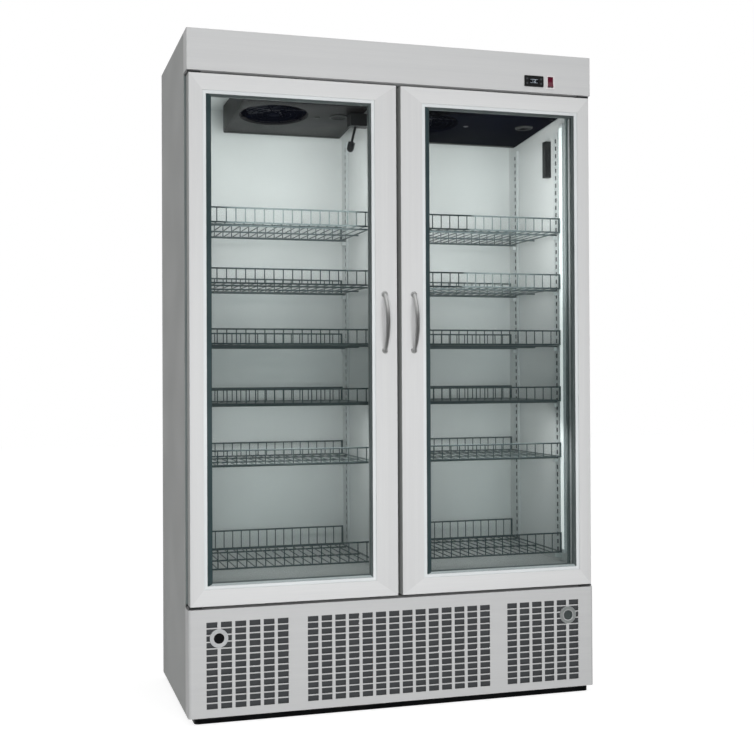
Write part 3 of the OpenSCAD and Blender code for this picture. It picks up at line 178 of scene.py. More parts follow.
# Each finish: its two tones, then the skin with its scale and stretch, and how it shines
finishValues = {
    "frontPaint": dict(brushedPaint, dark=(0.5724, 0.5778, 0.5832), light=(0.621, 0.6264, 0.6264)),
    # The lower panel takes a darker copy of the front paint: painted shade
    "panelPaint": dict(brushedPaint, dark=(0.5126, 0.5175, 0.5223), light=(0.5561, 0.561, 0.561)),
    "stilePaint": dict(brushedPaint, dark=(0.6048, 0.6096, 0.6144), light=(0.6576, 0.6624, 0.6624),
        stretch=(60, 60, 0.6), rough=(0.33, 0.45), dust=0.1),
    # The rails take a lighter copy of the stile paint, with the grain across: the extra lightness is painted
    # light
    "railPaint": dict(brushedPaint, dark=(0.6489, 0.6541, 0.6592), light=(0.7056, 0.7107, 0.7107),
        rough=(0.33, 0.45), dust=0.1),
    "beadWhite": dict(dark=(0.66, 0.685, 0.695), light=(0.72, 0.75, 0.76), rough=(0.3, 0.4), bump=0.03,
        coat=0.2, dust=0.05),
    # The sides' grey, darker than the front paint; on the door frames' flanks the same grey is painted shade
    "sideGreyAndFlankShade": dict(dark=(0.3758, 0.3881, 0.3815), light=(0.4248, 0.4371, 0.4305), scale=650.0,
        rough=(0.42, 0.55), bump=0.12, dust=0.1, spec=0.15),
    "zincSheet": dict(dark=(0.30, 0.31, 0.32), light=(0.42, 0.43, 0.44), skin="spangle", scale=85.0,
        rough=(0.35, 0.55), metal=0.75, dust=0.25),
    "zincRail": dict(dark=(0.60, 0.63, 0.63), light=(0.70, 0.73, 0.73), skin="spangle", scale=260.0,
        metal=0.3, bump=0.04, dust=0.05),
    "blackPaint": dict(dark=(0.002, 0.0022, 0.0024), light=(0.005, 0.0055, 0.006), scale=500.0,
        rough=(0.5, 0.65), bump=0.15, dust=0.05, spec=0.2),
    "foamSkin": dict(dark=(0.62, 0.50, 0.24), light=(0.78, 0.66, 0.36), scale=220.0, rough=(0.8, 0.95),
        bump=0.5),
    "linerSkin": dict(dark=(0.63, 0.65, 0.645), light=(0.71, 0.73, 0.725), scale=500.0, rough=(0.28, 0.4),
        coat=0.15, dust=0.04),
    "frameGrey": dict(dark=(0.1898, 0.2243, 0.2243), light=(0.25, 0.2847, 0.2847), scale=800.0,
        rough=(0.45, 0.6), bump=0.1, dust=0.05),
    "blackPlastic": dict(dark=(0.006, 0.0065, 0.007), light=(0.012, 0.0125, 0.013), scale=1600.0, bump=0.1,
        dust=0.05),
    "smokedWindow": dict(dark=(0.006, 0.007, 0.009), light=(0.01, 0.011, 0.014), scale=300.0,
        rough=(0.05, 0.12), bump=0.01, coat=0.6),
    "palePlastic": dict(dark=(0.70, 0.665, 0.67), light=(0.78, 0.745, 0.75), scale=1500.0, rough=(0.3, 0.42),
        bump=0.06, coat=0.1),
    "redPlastic": dict(dark=(0.085, 0.003, 0.015), light=(0.13, 0.006, 0.026), scale=1400.0,
        rough=(0.25, 0.35), bump=0.03, coat=0.2),
    "keyPlastic": dict(dark=(0.05, 0.055, 0.06), light=(0.075, 0.08, 0.085), scale=1800.0, bump=0.06),
    "finMetal": dict(dark=(0.48, 0.50, 0.51), light=(0.62, 0.64, 0.65), skin="grain", scale=30.0,
        stretch=(8, 8, 1), rough=(0.3, 0.5), metal=0.9, bump=0.1, dust=0.15),
    "darkSheet": dict(dark=(0.07, 0.075, 0.08), light=(0.10, 0.105, 0.11), scale=500.0, rough=(0.4, 0.55),
        metal=0.1, bump=0.1, dust=0.2),
    "shellPaint": dict(dark=(0.006, 0.007, 0.008), light=(0.012, 0.013, 0.014), scale=260.0,
        rough=(0.2, 0.35), bump=0.15, coat=0.5, dust=0.35),
    "softRubber": dict(dark=(0.012, 0.012, 0.012), light=(0.02, 0.02, 0.02), rough=(0.6, 0.75), bump=0.15,
        dust=0.1),
    "copperTube": dict(dark=(0.42, 0.15, 0.07), light=(0.62, 0.27, 0.14), scale=70.0, rough=(0.28, 0.5),
        metal=1.0, dust=0.15),
    "panPlastic": dict(dark=(0.045, 0.048, 0.05), light=(0.065, 0.07, 0.072), scale=700.0, rough=(0.4, 0.55),
        bump=0.1, dust=0.2),
    "coverGrey": dict(dark=(0.0099, 0.0095, 0.0099), light=(0.0153, 0.0146, 0.0153), scale=700.0,
        rough=(0.4, 0.5), metal=0.1, bump=0.08, dust=0.05, spec=0.2),
    "coverNavy": dict(dark=(0.0008, 0.0013, 0.004), light=(0.0015, 0.0024, 0.007), scale=700.0,
        rough=(0.65, 0.75), bump=0.08, spec=0.02),
    "motorCast": dict(dark=(0.03, 0.034, 0.038), light=(0.06, 0.065, 0.07), scale=350.0, rough=(0.5, 0.7),
        metal=0.3, bump=0.3, dust=0.15),
    "fanPlastic": dict(dark=(0.006, 0.007, 0.011), light=(0.011, 0.012, 0.018), scale=1200.0, bump=0.06,
        dust=0.1),
    "shelfCoat": dict(dark=(0.075, 0.10, 0.105), light=(0.13, 0.16, 0.16), rough=(0.3, 0.45), metal=0.15,
        bump=0.08, coat=0.2, dust=0.05),
    "platedHinge": dict(dark=(0.03, 0.031, 0.033), light=(0.05, 0.052, 0.054), skin="grain", scale=30.0,
        stretch=(1, 10, 10), metal=0.4, bump=0.06),
    "gasketGrey": dict(dark=(0.16, 0.19, 0.19), light=(0.21, 0.245, 0.245), rough=(0.5, 0.65), bump=0.12,
        dust=0.05),
    "handleSteel": dict(dark=(0.47, 0.475, 0.47), light=(0.62, 0.625, 0.62), skin="grain", scale=30.0,
        stretch=(20, 20, 0.8), rough=(0.26, 0.4), metal=0.85, bump=0.08),
    "lockRing": dict(turnedMetal, dark=(0.4644, 0.476, 0.4876), light=(0.6037, 0.6153, 0.6269),
        rough=(0.25, 0.38), metal=0.2),
    "ringGrey": dict(turnedMetal, dark=(0.3105, 0.3335, 0.3277), light=(0.414, 0.437, 0.4312),
        rough=(0.3, 0.45), metal=0.4),
    "lockBlack": dict(dark=(0.004, 0.004, 0.005), light=(0.009, 0.009, 0.01), scale=1200.0,
        rough=(0.4, 0.55)),
    "lockGrey": dict(turnedMetal, dark=(0.105, 0.132, 0.1275), light=(0.165, 0.195, 0.1905),
        rough=(0.3, 0.45), metal=0.6),
    "footZinc": dict(dark=(0.20, 0.20, 0.20), light=(0.32, 0.32, 0.32), skin="spangle", scale=300.0,
        rough=(0.4, 0.6), metal=0.8, dust=0.2),
    "spacerDark": dict(dark=(0.0562, 0.09, 0.0975), light=(0.0938, 0.1313, 0.14), metal=0.2),
    "slotShade": dict(dark=(0.054, 0.057, 0.060), light=(0.074, 0.078, 0.082), skin="grain", scale=9.0,
        stretch=(0.6, 60, 60), rough=(0.5, 0.6), bump=0.04, spec=0.2),
    "spacerPale": dict(dark=(0.16, 0.175, 0.175), light=(0.215, 0.235, 0.235), metal=0.2),
    "screwZinc": dict(turnedMetal, dark=(0.40, 0.41, 0.42), light=(0.55, 0.56, 0.57), rough=(0.25, 0.4),
        metal=0.95, dust=0.1),
}


def newMaterial(name):
    material = bpy.data.materials.new(name)
    material.use_nodes = True
    tree = material.node_tree
    return material, tree, tree.nodes["Principled BSDF"]


def makeFinish(name):
    v = {**plainFinish, **finishValues[name]}
    material, tree, shader = newMaterial(name)
    where = addNode(tree, "ShaderNodeTexCoord").outputs["Object"]
    along = addNode(tree, "ShaderNodeMapping", {"Vector": where, "Scale": v["stretch"]}).outputs["Vector"]
    skin = addNode(tree, "ShaderNodeGroup", node_tree=skins[v["skin"]])
    feed(tree, skin, {"Vector": along, "Scale": v["scale"]})
    dust = addNode(tree, "ShaderNodeGroup", node_tree=dustGroup)
    feed(tree, dust, {"Vector": where, "Amount": v["dust"]})
    tones = blend(tree, "RGBA", skin.outputs["Tone"], v["dark"], v["light"])
    bump = addNode(tree, "ShaderNodeBump", {"Strength": v["bump"], "Distance": v["bumpDepth"],
                                            "Height": skin.outputs["Height"]})
    feed(tree, shader, {"Base Color": blend(tree, "RGBA", dust.outputs["Mask"], tones, dustValues["tint"]),
                        "Roughness": remap(tree, skin.outputs["Tone"], 0.0, 1.0, *v["rough"]),
                        "Normal": bump.outputs["Normal"], "Metallic": v["metal"],
                        "Coat Weight": v["coat"], "Specular IOR Level": v["spec"]})
    return material


glassValues = dict(tint=(0.98, 0.995, 0.99), shade=(0.735, 0.765, 0.765), ior=1.45, rough=(0.0, 0.02),
                   smudgeScale=3.0, smudgeDetail=6.0, smudge=(0.45, 0.75))


def makeGlass(name):
    # Clear pane: light for the shelves passes straight through it
    v = glassValues
    material, tree, shader = newMaterial(name)
    where = addNode(tree, "ShaderNodeTexCoord").outputs["Object"]
    smudge = addNoise(tree, where, v["smudgeScale"], v["smudgeDetail"])
    feed(tree, shader, {"Base Color": v["tint"], "Transmission Weight": 1.0, "IOR": v["ior"],
                        "Roughness": remap(tree, smudge, *v["smudge"], *v["rough"])})
    path = addNode(tree, "ShaderNodeLightPath").outputs
    clear = addNode(tree, "ShaderNodeBsdfTransparent", {"Color": v["shade"]}).outputs["BSDF"]
    either = combine(tree, "MAXIMUM", path["Is Shadow Ray"], path["Is Diffuse Ray"])
    pane = addNode(tree, "ShaderNodeMixShader", {"Fac": either, 1: shader.outputs["BSDF"], 2: clear})
    feed(tree, tree.nodes["Material Output"], {"Surface": pane.outputs["Shader"]})
    return material


mottleValues = dict(scale=40.0, dim=0.88, rough=0.4)
glowValues = {
    "lampGlow": dict(mottleValues, tint=(0.94, 1.0, 0.99), strength=0.5),
    "displayGlow": dict(mottleValues, tint=(0.55, 0.62, 0.7), strength=0.12),
}


def makeGlow(name):
    # Milky cover that glows, mottled by the diodes behind it
    v = glowValues[name]
    material, tree, shader = newMaterial(name)
    where = addNode(tree, "ShaderNodeTexCoord").outputs["Object"]
    dimmed = [v["dim"] * c for c in v["tint"]]
    colour = blend(tree, "RGBA", addNoise(tree, where, v["scale"]), dimmed, v["tint"])
    feed(tree, shader, {"Base Color": colour, "Emission Color": colour, "Emission Strength": v["strength"],
                        "Roughness": v["rough"]})
    return material


finishes = {name: makeFinish(name) for name in finishValues}
finishes["paneGlass"] = makeGlass("paneGlass")
for name in glowValues:
    finishes[name] = makeGlow(name)
print("finishes made:", len(finishes))

# The finish of each CAD node that stays in view
nodeFinish = {
    "base_frame": "blackPaint", "levelling_feet": "footZinc", "side_panel_left": "sideGreyAndFlankShade",
    "side_panel_right": "sideGreyAndFlankShade", "back_panel": "zincSheet", "rear_grille": "zincSheet",
    "top_panel": "zincSheet", "foam_insulation": "foamSkin", "compartment_liners": "linerSkin",
    "front_frame": "frameGrey", "header_fascia": "frontPaint", "thermostat_case": "blackPlastic",
    "thermostat_window": "smokedWindow", "switch_housing": "palePlastic", "condenser": "finMetal",
    "condenser_shroud": "darkSheet", "compressor_mounts": "softRubber",
    "refrigerant_pipes": "copperTube", "evaporation_pan": "panPlastic", "junction_box": "blackPlastic",
    "evaporator_coils": "finMetal", "fan_motors": "motorCast", "air_probes": "blackPlastic",
    "shelf_rails": "zincRail", "shelf_clips": "zincRail", "hinge_brackets": "platedHinge",
    "lower_panel": "panelPaint", "condenser_fan": "fanPlastic", "ceiling_fan_left": "fanPlastic",
    "ceiling_fan_right": "fanPlastic", "switch_rocker": "redPlastic", "button_up": "keyPlastic",
    "button_down": "keyPlastic", "button_set": "keyPlastic", "button_defrost": "keyPlastic",
}
for nodeName, node in nodes.items():
    finish = finishes[nodeFinish.get(nodeName, "shelfCoat")]   # any finish does for a node that is replaced
    for slotHere in node.material_slots:
        slotHere.material = finish
    if not node.material_slots:
        node.data.materials.append(finish)
print("CAD nodes finished")


# Small modelling helpers
def finishPiece(name, bm, body, finishNames, replaced=(), sharpAngle=35):
    bmesh.ops.remove_doubles(bm, verts=bm.verts, dist=0.00001)
    bmesh.ops.recalc_face_normals(bm, faces=bm.faces)
    for face in bm.faces:
        face.smooth = True
    for edge in bm.edges:
        edge.smooth = len(edge.link_faces) == 2 and edge.calc_face_angle(0) < math.radians(sharpAngle)
    mesh = bpy.data.meshes.new(name)
    bm.to_mesh(mesh)
    bm.free()
    for finishName in finishNames:
        mesh.materials.append(finishes[finishName])
    piece = bpy.data.objects.new(name, mesh)
    scene.collection.objects.link(piece)
    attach(piece, body)
    if replaced:
        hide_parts(*replaced)


def addBlock(bm, low, high, radius=0.0, segments=2):
    low, high = Vector(low), Vector(high)
    verts = bmesh.ops.create_cube(bm, size=1.0)["verts"]
    bmesh.ops.scale(bm, vec=high - low, verts=verts)
    bmesh.ops.translate(bm, vec=(low + high) / 2, verts=verts)
    if radius > 0:
        roundEdges(bm, list({edge for vert in verts for edge in vert.link_edges}), radius, segments)
    return verts


def roundEdges(bm, edges, radius, segments):
    bmesh.ops.bevel(bm, geom=edges, offset=radius, offset_type="OFFSET", segments=segments,
                    profile=0.5, affect="EDGES", material=-1)


def addTurned(bm, outline, centre, axis, steps=24):
    # outline: (radius, distance along the axis) pairs, turned once round
    axis = Vector(axis).normalized()
    side = axis.orthogonal().normalized()
    verts = [bm.verts.new(Vector(centre) + side * r + axis * d) for r, d in outline]
    edges = [bm.edges.new(pair) for pair in zip(verts, verts[1:])]
    bmesh.ops.spin(bm, geom=verts + edges, cent=centre, axis=axis, angle=2 * math.pi, steps=steps,
                   use_merge=True)


def upright(x0, x1, z0, z1, y):
    # The corners of a rectangle that stands upright at y
    return (x0, y, z0), (x1, y, z0), (x1, y, z1), (x0, y, z1)


def addLoop(bm, points):
    corners = [bm.verts.new(p) for p in points]
    return corners, [bm.edges.new((corners[i], corners[(i + 1) % 4])) for i in range(4)]


def pull(bm, edges):
    # Draws new faces out of the edges; gives their far edges, the corners of those and the faces
    made = bmesh.ops.extrude_edge_only(bm, edges=edges)["geom"]
    corners = [g for g in made if isinstance(g, bmesh.types.BMVert)]
    far = [g for g in made if isinstance(g, bmesh.types.BMEdge) and set(g.verts) <= set(corners)]
    return far, corners, [g for g in made if isinstance(g, bmesh.types.BMFace)]


def addFrame(bm, rings):
    # rings: (x0, x1, z0, z1, y) rectangles, each pulled out of the one before; the last meets the first
    edges = addLoop(bm, upright(*rings[0]))[1]
    for here, there in zip(rings, list(rings[1:]) + [rings[0]]):
        edges, corners, faces = pull(bm, edges)
        midHere = Vector(((here[0] + here[1]) / 2, here[4], (here[2] + here[3]) / 2))
        midThere = Vector(((there[0] + there[1]) / 2, there[4], (there[2] + there[3]) / 2))
        grow = ((there[1] - there[0]) / (here[1] - here[0]), 1, (there[3] - there[2]) / (here[3] - here[2]))
        bmesh.ops.scale(bm, vec=grow, verts=corners, space=Matrix.Translation(-midHere))
        bmesh.ops.translate(bm, vec=midThere - midHere, verts=corners)


def inward(rect, d):
    return (rect[0] + d, rect[1] - d, rect[2] + d, rect[3] - d)


def boxSides(name):
    # A node's box seen from the front, with its two depths
    low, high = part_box(name)
    return (low.x, high.x, low.z, high.z), low.y, high.y


def wiresToMesh(bm, paths, radius, sides=2, closed=False):
    # Each path is a list of points; the wires get round ends and keep their thickness round the bends
    curve = bpy.data.curves.new("wirePaths", "CURVE")
    curve.dimensions = "3D"
    curve.bevel_depth = radius
    curve.bevel_resolution = sides
    curve.use_fill_caps = True
    for path in paths:
        spline = curve.splines.new("POLY")
        spline.use_cyclic_u = closed
        spline.points.add(len(path) - 1)
        for point, place in zip(spline.points, path):
            point.co = (*place, 1)
    holder = bpy.data.objects.new("wirePaths", curve)
    mesh = bpy.data.meshes.new_from_object(holder)
    bm.from_mesh(mesh)
    bpy.data.objects.remove(holder)
    bpy.data.curves.remove(curve)
    bpy.data.meshes.remove(mesh)


def bent(points, radius, steps=3):
    # Rounds the corners of a path
    out = [Vector(points[0])]
    for before, corner, after in zip(points, points[1:], points[2:]):
        before, corner, after = Vector(before), Vector(corner), Vector(after)
        start = corner + (before - corner).normalized() * radius
        end = corner + (after - corner).normalized() * radius
        for i in range(steps + 1):
            t = i / steps
            out.append(start.lerp(corner, t).lerp(corner.lerp(end, t), t))
    out.append(Vector(points[-1]))
    return out


sides = {"left": -1, "right": 1}

# Doors
doorValues = dict(lip=0.005, bead=0.010, groove=0.012, grooveWidth=0.0251, edgeRadius=0.0022, edgeSteps=3,
                  glassPlay=0.001, chamfer=0.0006, backChamfer=0.001, flank=0.0005)


def makeDoorFrame(side):
    # Stiles and rails in one folded frame, with a lip for the bead and a groove for the glass
    v = doorValues
    outer, front, back = boxSides("door_frame_" + side)
    glass = boxSides("door_glass_" + side)[0]
    opening = inward(glass, v["groove"] - v["glassPlay"])
    r = v["edgeRadius"]
    rings = [(*outer, back - r)]
    for k in range(v["edgeSteps"] + 1):
        a = math.radians(90 / v["edgeSteps"] * k)
        rings.append((*inward(outer, r * (1 - math.cos(a))), front + r * (1 - math.sin(a))))
    beadEdge = inward(opening, -v["bead"])
    pocket = inward(opening, -v["groove"])
    step = front + v["lip"]
    rings += [(*inward(beadEdge, -v["chamfer"]), front), (*beadEdge, front + v["chamfer"]), (*beadEdge, step),
              (*pocket, step), (*pocket, step + v["grooveWidth"]), (*opening, step + v["grooveWidth"]),
              (*opening, back - v["backChamfer"]), (*inward(opening, -v["backChamfer"]), back),
              (*inward(outer, r), back)]
    bm = bmesh.new()
    addFrame(bm, rings)
    bm.normal_update()
    # Stile faces and rail faces take the darker and the lighter copy of one paint
    for face in bm.faces:
        longest = max(face.edges, key=lambda edge: edge.calc_length())
        run = longest.verts[0].co - longest.verts[1].co
        face.material_index = 0 if abs(run.z) > abs(run.x) else 1
        x = face.calc_center_median().x
        if abs(face.normal.x) > 0.9 and min(abs(x - outer[0]), abs(x - outer[1])) < v["flank"]:
            face.material_index = 2   # painted shade: the frame's outer flanks take the darker side grey
    finishPiece("doorFrame_" + side, bm, "door_" + side,
                ["stilePaint", "railPaint", "sideGreyAndFlankShade"], ["door_frame_" + side])
    return opening, beadEdge, front


beadValues = dict(seat=0.0002, step=0.0016, share=0.98, rise=0.0012, first=0.15, turn=0.75, parts=5,
                  lip=0.0018)


def makeBead(side, opening, beadEdge, front):
    # Glazing bead: a rounded strip that holds the front pane
    v = beadValues
    seatY = front + doorValues["lip"] + v["seat"]
    rings = [(*inward(beadEdge, v["seat"]), seatY), (*inward(beadEdge, v["seat"]), front + v["step"])]
    for k in range(1, v["parts"]):
        t = k / v["parts"]
        hump = v["rise"] * math.sin(math.pi * (v["first"] + v["turn"] * t))
        across = v["seat"] + doorValues["bead"] * t * v["share"]
        rings.append((*inward(beadEdge, across), front + v["step"] - hump))
    rings += [(*opening, front + v["lip"]), (*opening, seatY)]
    bm = bmesh.new()
    addFrame(bm, rings)
    finishPiece("glazingBead_" + side, bm, "door_" + side, ["beadWhite"])


paneValues = dict(thickness=0.004, edge=0.0006, spacer=0.015, spacerLeft=0.025, inset=0.002, gap=0.0002,
                  chamfer=0.002)


def makePanes(side):
    v = paneValues
    rect, front, back = boxSides("door_glass_" + side)
    bm = bmesh.new()
    for y in (front, back - v["thickness"]):
        addBlock(bm, (rect[0], y, rect[2]), (rect[1], y + v["thickness"], rect[3]), v["edge"], 1)
    finishPiece("glassPanes_" + side, bm, "door_" + side, ["paneGlass"], ["door_glass_" + side])

    bm = bmesh.new()   # spacer and sealant between the panes, wider at the left
    rect = inward(rect, v["inset"])
    y0, y1 = front + v["thickness"] + v["gap"], back - v["thickness"] - v["gap"]

    def inset(d, y):
        x0, x1, z0, z1 = inward(rect, d)
        return (x0 + v["spacerLeft"] - v["spacer"], x1, z0, z1, y)

    edge, flat = v["spacer"] - v["chamfer"], v["spacer"]
    addFrame(bm, [(*rect, y0), inset(edge, y0), inset(flat, y0 + v["chamfer"]),
                  inset(flat, y1 - v["chamfer"]), inset(edge, y1), (*rect, y1)])
    # The spacer's faces are tinted by where they lie: dark at the left, pale at the top and right, and bead
    # white along the bottom, a painted light that lifts the shade between the panes there
    for face in bm.faces:
        middle = face.calc_center_median()
        onLeft = middle.x < rect[0] + v["spacerLeft"] and rect[2] + flat < middle.z < rect[3] - flat
        face.material_index = 0 if onLeft else 1 if middle.z > rect[2] + flat else 2
    finishPiece("paneSpacer_" + side, bm, "door_" + side,
                ["spacerDark", "spacerPale", "beadWhite"])


gasketValues = dict(width=0.022, fold=0.0045, edge=0.001, pad=0.0015, padEdge=0.003, sharp=50)


def makeGasket(side):
    v = gasketValues
    outer, foot, pad = boxSides("door_gasket_" + side)
    # Outline across the gasket, depth as a share: a foot on the door, a bellows and the magnet's flat pad
    half = [(v["edge"], 0), (0, 0.1), (0, 0.2), (v["fold"], 0.34), (v["edge"], 0.5), (v["fold"], 0.64),
            (v["pad"], 0.74), (v["pad"], 0.95), (v["padEdge"], 1.0)]
    across = [(v["width"] - d, t) for d, t in half] + half[::-1]
    bm = bmesh.new()
    addFrame(bm, [(*inward(outer, d), foot + (pad - foot) * t) for d, t in across])
    finishPiece("doorGasket_" + side, bm, "door_" + side, ["gasketGrey"],
                ["door_gasket_" + side], v["sharp"])


handleValues = dict(middleRadius=0.0066, endRadius=0.0052, footRadius=0.0098, footHeight=0.0068,
                    footEdge=0.010, sink=0.001, taper=1.6, steps=30, ringSides=20, footSides=28,
                    collar=0.0006, sharp=40)


def makeHandle(side):
    # A bowed bar pulled along its arc, thicker in the middle, on two turned feet
    v = handleValues
    low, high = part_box("door_handle_" + side)
    x, doorFront, zMid = (low.x + high.x) / 2, high.y, (low.z + high.z) / 2
    half = (high.z - low.z) / 2 - v["footEdge"]
    reach = doorFront - low.y - v["middleRadius"]
    sag = reach - (v["footHeight"] - v["sink"])
    bow = (half * half + sag * sag) / (2 * sag)
    spread = math.asin(half / bow)
    centre = Vector((x, doorFront - reach + bow, zMid))
    steps = v["steps"]

    def thickness(i):
        t = abs(2 * i / steps - 1)
        return v["middleRadius"] + (v["endRadius"] - v["middleRadius"]) * t ** v["taper"]

    bm = bmesh.new()
    turn = Matrix.Translation(centre) @ Matrix.Rotation(-spread, 4, "X") @ Matrix.Translation((0, -bow, 0))
    bmesh.ops.create_circle(bm, cap_ends=True, radius=1.0, segments=v["ringSides"], matrix=turn)
    bmesh.ops.scale(bm, vec=(thickness(0),) * 3, verts=bm.verts[:],
                    space=Matrix.Translation(-turn.translation))
    edges = bm.edges[:]
    for i in range(1, steps + 1):
        edges, corners, faces = pull(bm, edges)
        bmesh.ops.rotate(bm, cent=centre, matrix=Matrix.Rotation(2 * spread / steps, 3, "X"), verts=corners)
        middle = sum((vert.co for vert in corners), Vector()) / len(corners)
        grow = thickness(i) / thickness(i - 1)
        bmesh.ops.scale(bm, vec=(grow,) * 3, verts=corners, space=Matrix.Translation(-middle))
    bmesh.ops.contextual_create(bm, geom=edges)
    r, h = v["footRadius"], v["footHeight"]
    foot = [(0, 0), (r, 0), (r, h * 0.35), (r - 0.0008, h * 0.55), (r - 0.0022, h * 0.8),
            (v["endRadius"] + v["collar"], h * 1.1), (0, h * 1.1)]
    for end in (-1, 1):
        addTurned(bm, foot, (x, doorFront, zMid + end * half), (0, -1, 0), v["footSides"])
    finishPiece("pullHandle_" + side, bm, "door_" + side, ["handleSteel"],
                ["door_handle_" + side], v["sharp"])


for side in sides:
    makeBead(side, *makeDoorFrame(side))
    makePanes(side)
    makeGasket(side)
    makeHandle(side)
print("doors made")

# Shelves and baskets of round wire
shelfValues = dict(wireRadius=0.0017, rodRadius=0.003, railRadius=0.0025, pitch=0.0285, bend=0.006,
                   hoopBend=0.001, lift=0.0024, railEnd=0.001, overlap=0.0002, rodFront=0.039,
                   rodBack=0.379, hoopThin=0.9, sharp=60)


def makeShelf(nodeName):
    v = shelfValues
    low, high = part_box(nodeName)
    x0, x1 = low.x, high.x
    y0, y1 = low.y + v["railRadius"], high.y - v["railRadius"]
    floor, top = low.z + 2 * v["rodRadius"] + v["lift"], high.z - v["railRadius"]
    count = int((x1 - x0 - 2 * v["rodRadius"]) / v["pitch"])
    bm = bmesh.new()
    wires = []
    for k in range(count + 1):
        x = (x0 + x1) / 2 + (k - count / 2) * v["pitch"]
        wires.append(bent([(x, y0, top), (x, y0, floor), (x, y1, floor), (x, y1, top)], v["bend"]))
    wiresToMesh(bm, wires, v["wireRadius"], 1)
    rails = [[(x0 + v["railEnd"], y, z), (x1 - v["railEnd"], y, z)]
             for y in (y0 - v["overlap"], y1 + v["overlap"]) for z in (floor, top)]
    for y in (low.y + v["rodFront"], (low.y + high.y) / 2, low.y + v["rodBack"]):
        rails.append([(x0, y, low.z + v["rodRadius"]), (x1, y, low.z + v["rodRadius"])])
    wiresToMesh(bm, rails, v["railRadius"], 3)
    hoops = []   # side hoops close the ends of the two fences
    for x in (x0 + v["railRadius"], x1 - v["railRadius"]):
        for y in (y0, y1):
            hoops.append(bent([(x, y, floor), (x, y, top)], v["hoopBend"]))
        hoops.append([(x, y0, floor), (x, y1, floor)])
    wiresToMesh(bm, hoops, v["railRadius"] * v["hoopThin"], 2)
    finishPiece("wire_" + nodeName, bm, "cabinet", ["shelfCoat"], [nodeName], v["sharp"])


for nodeName in sorted(nodes):
    if nodeName.startswith(("shelf_left_", "shelf_right_", "basket_")):
        makeShelf(nodeName)
print("shelves made")

# Lamps at the two side walls
lampValues = dict(capLength=0.012, gap=0.0002, thick=0.0078, sheet=0.002, coverEdge=0.003, capEdge=0.0015,
                  sheetEdge=0.0004)


def makeLamp(side, sign):
    v = lampValues
    low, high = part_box("lamps")
    wall = high.x * sign
    x0, x1 = sorted((wall - sign * v["gap"], wall - sign * v["thick"]))
    y0, y1, sheet = low.y, high.y, v["sheet"]
    z0, z1 = low.z + v["capLength"], high.z - v["capLength"]
    bm = bmesh.new()
    addBlock(bm, (x0, y0 + sheet, z0), (x1, y1 - sheet, z1), v["coverEdge"], 3)
    finishPiece("lampCover_" + side, bm, "cabinet", ["lampGlow"],
                ["lamps"] if side == "left" else [])
    bm = bmesh.new()   # channel with a cap at each end
    for bottom, top in ((low.z, z0), (z1, high.z)):
        addBlock(bm, (x0, y0, bottom), (x1, y1, top), v["capEdge"], 2)
    flange = x1 - sheet * (sign < 0)
    for front, back in ((y0, y0 + sheet), (y1 - sheet, y1)):
        addBlock(bm, (x0, front, z0), (flange, back, z1), v["sheetEdge"], 1)
    finishPiece("lampChannel_" + side, bm, "cabinet", ["beadWhite"])


for side, sign in sides.items():
    makeLamp(side, sign)
print("lamps made")

# Painted shadow: dark strips inside the slotted rails, where there is only shade
railValues = dict(depth=0.008, skin=0.0015, width=0.032, spare=0.0008, partition=0.036, end=0.001,
                  edge=0.0006)


def makeRailShadowStrips():
    v = railValues
    low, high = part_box("shelf_rails")
    edge = v["skin"] + v["spare"]
    bm = bmesh.new()
    for wall, into in ((low.x, 1), (high.x, -1), (-v["partition"], -1), (v["partition"], 1)):
        x0, x1 = sorted((wall + into * v["spare"], wall + into * (v["depth"] - v["skin"] - v["spare"])))
        for y0, y1 in ((low.y, low.y + v["width"]), (high.y - v["width"], high.y)):
            addBlock(bm, (x0, y0 + edge, low.z + v["end"]), (x1, y1 - edge, high.z - v["end"]), v["edge"], 1)
    finishPiece("railShadowStrips", bm, "cabinet", ["slotShade"])


makeRailShadowStrips()
print("rails made")

# Ceiling units: each has its two ends and the middle of its fan across the cabinet
unitValues = dict(left=(-0.454, -0.060, -0.333), right=(0.045, 0.571, 0.166), fanFromFront=0.138,
                  frontRise=0.031, fanRadius=0.105, fanSides=56, sheet=0.0012, corner=0.005, bendAngle=1.2,
                  rim=((0.002, 0.985), (0.006, 0.985)), wellRoof=0.016, wellSheet=0.004, wellLip=0.010,
                  wellOut=0.001, wellIn=0.002)


def unitFloor(y):
    # The covers' floors slope: the front edge is higher than the rear one
    low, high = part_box("fan_covers")
    return low.z + unitValues["frontRise"] * (high.y - y) / (high.y - low.y)


def slopeAbout(centre):
    low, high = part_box("fan_covers")
    fall = unitValues["frontRise"] / (high.y - low.y)
    return Matrix(((1, 0, 0, 0), (0, 1, 0, 0), (0, -fall, 1, fall * centre.y), (0, 0, 0, 1)))


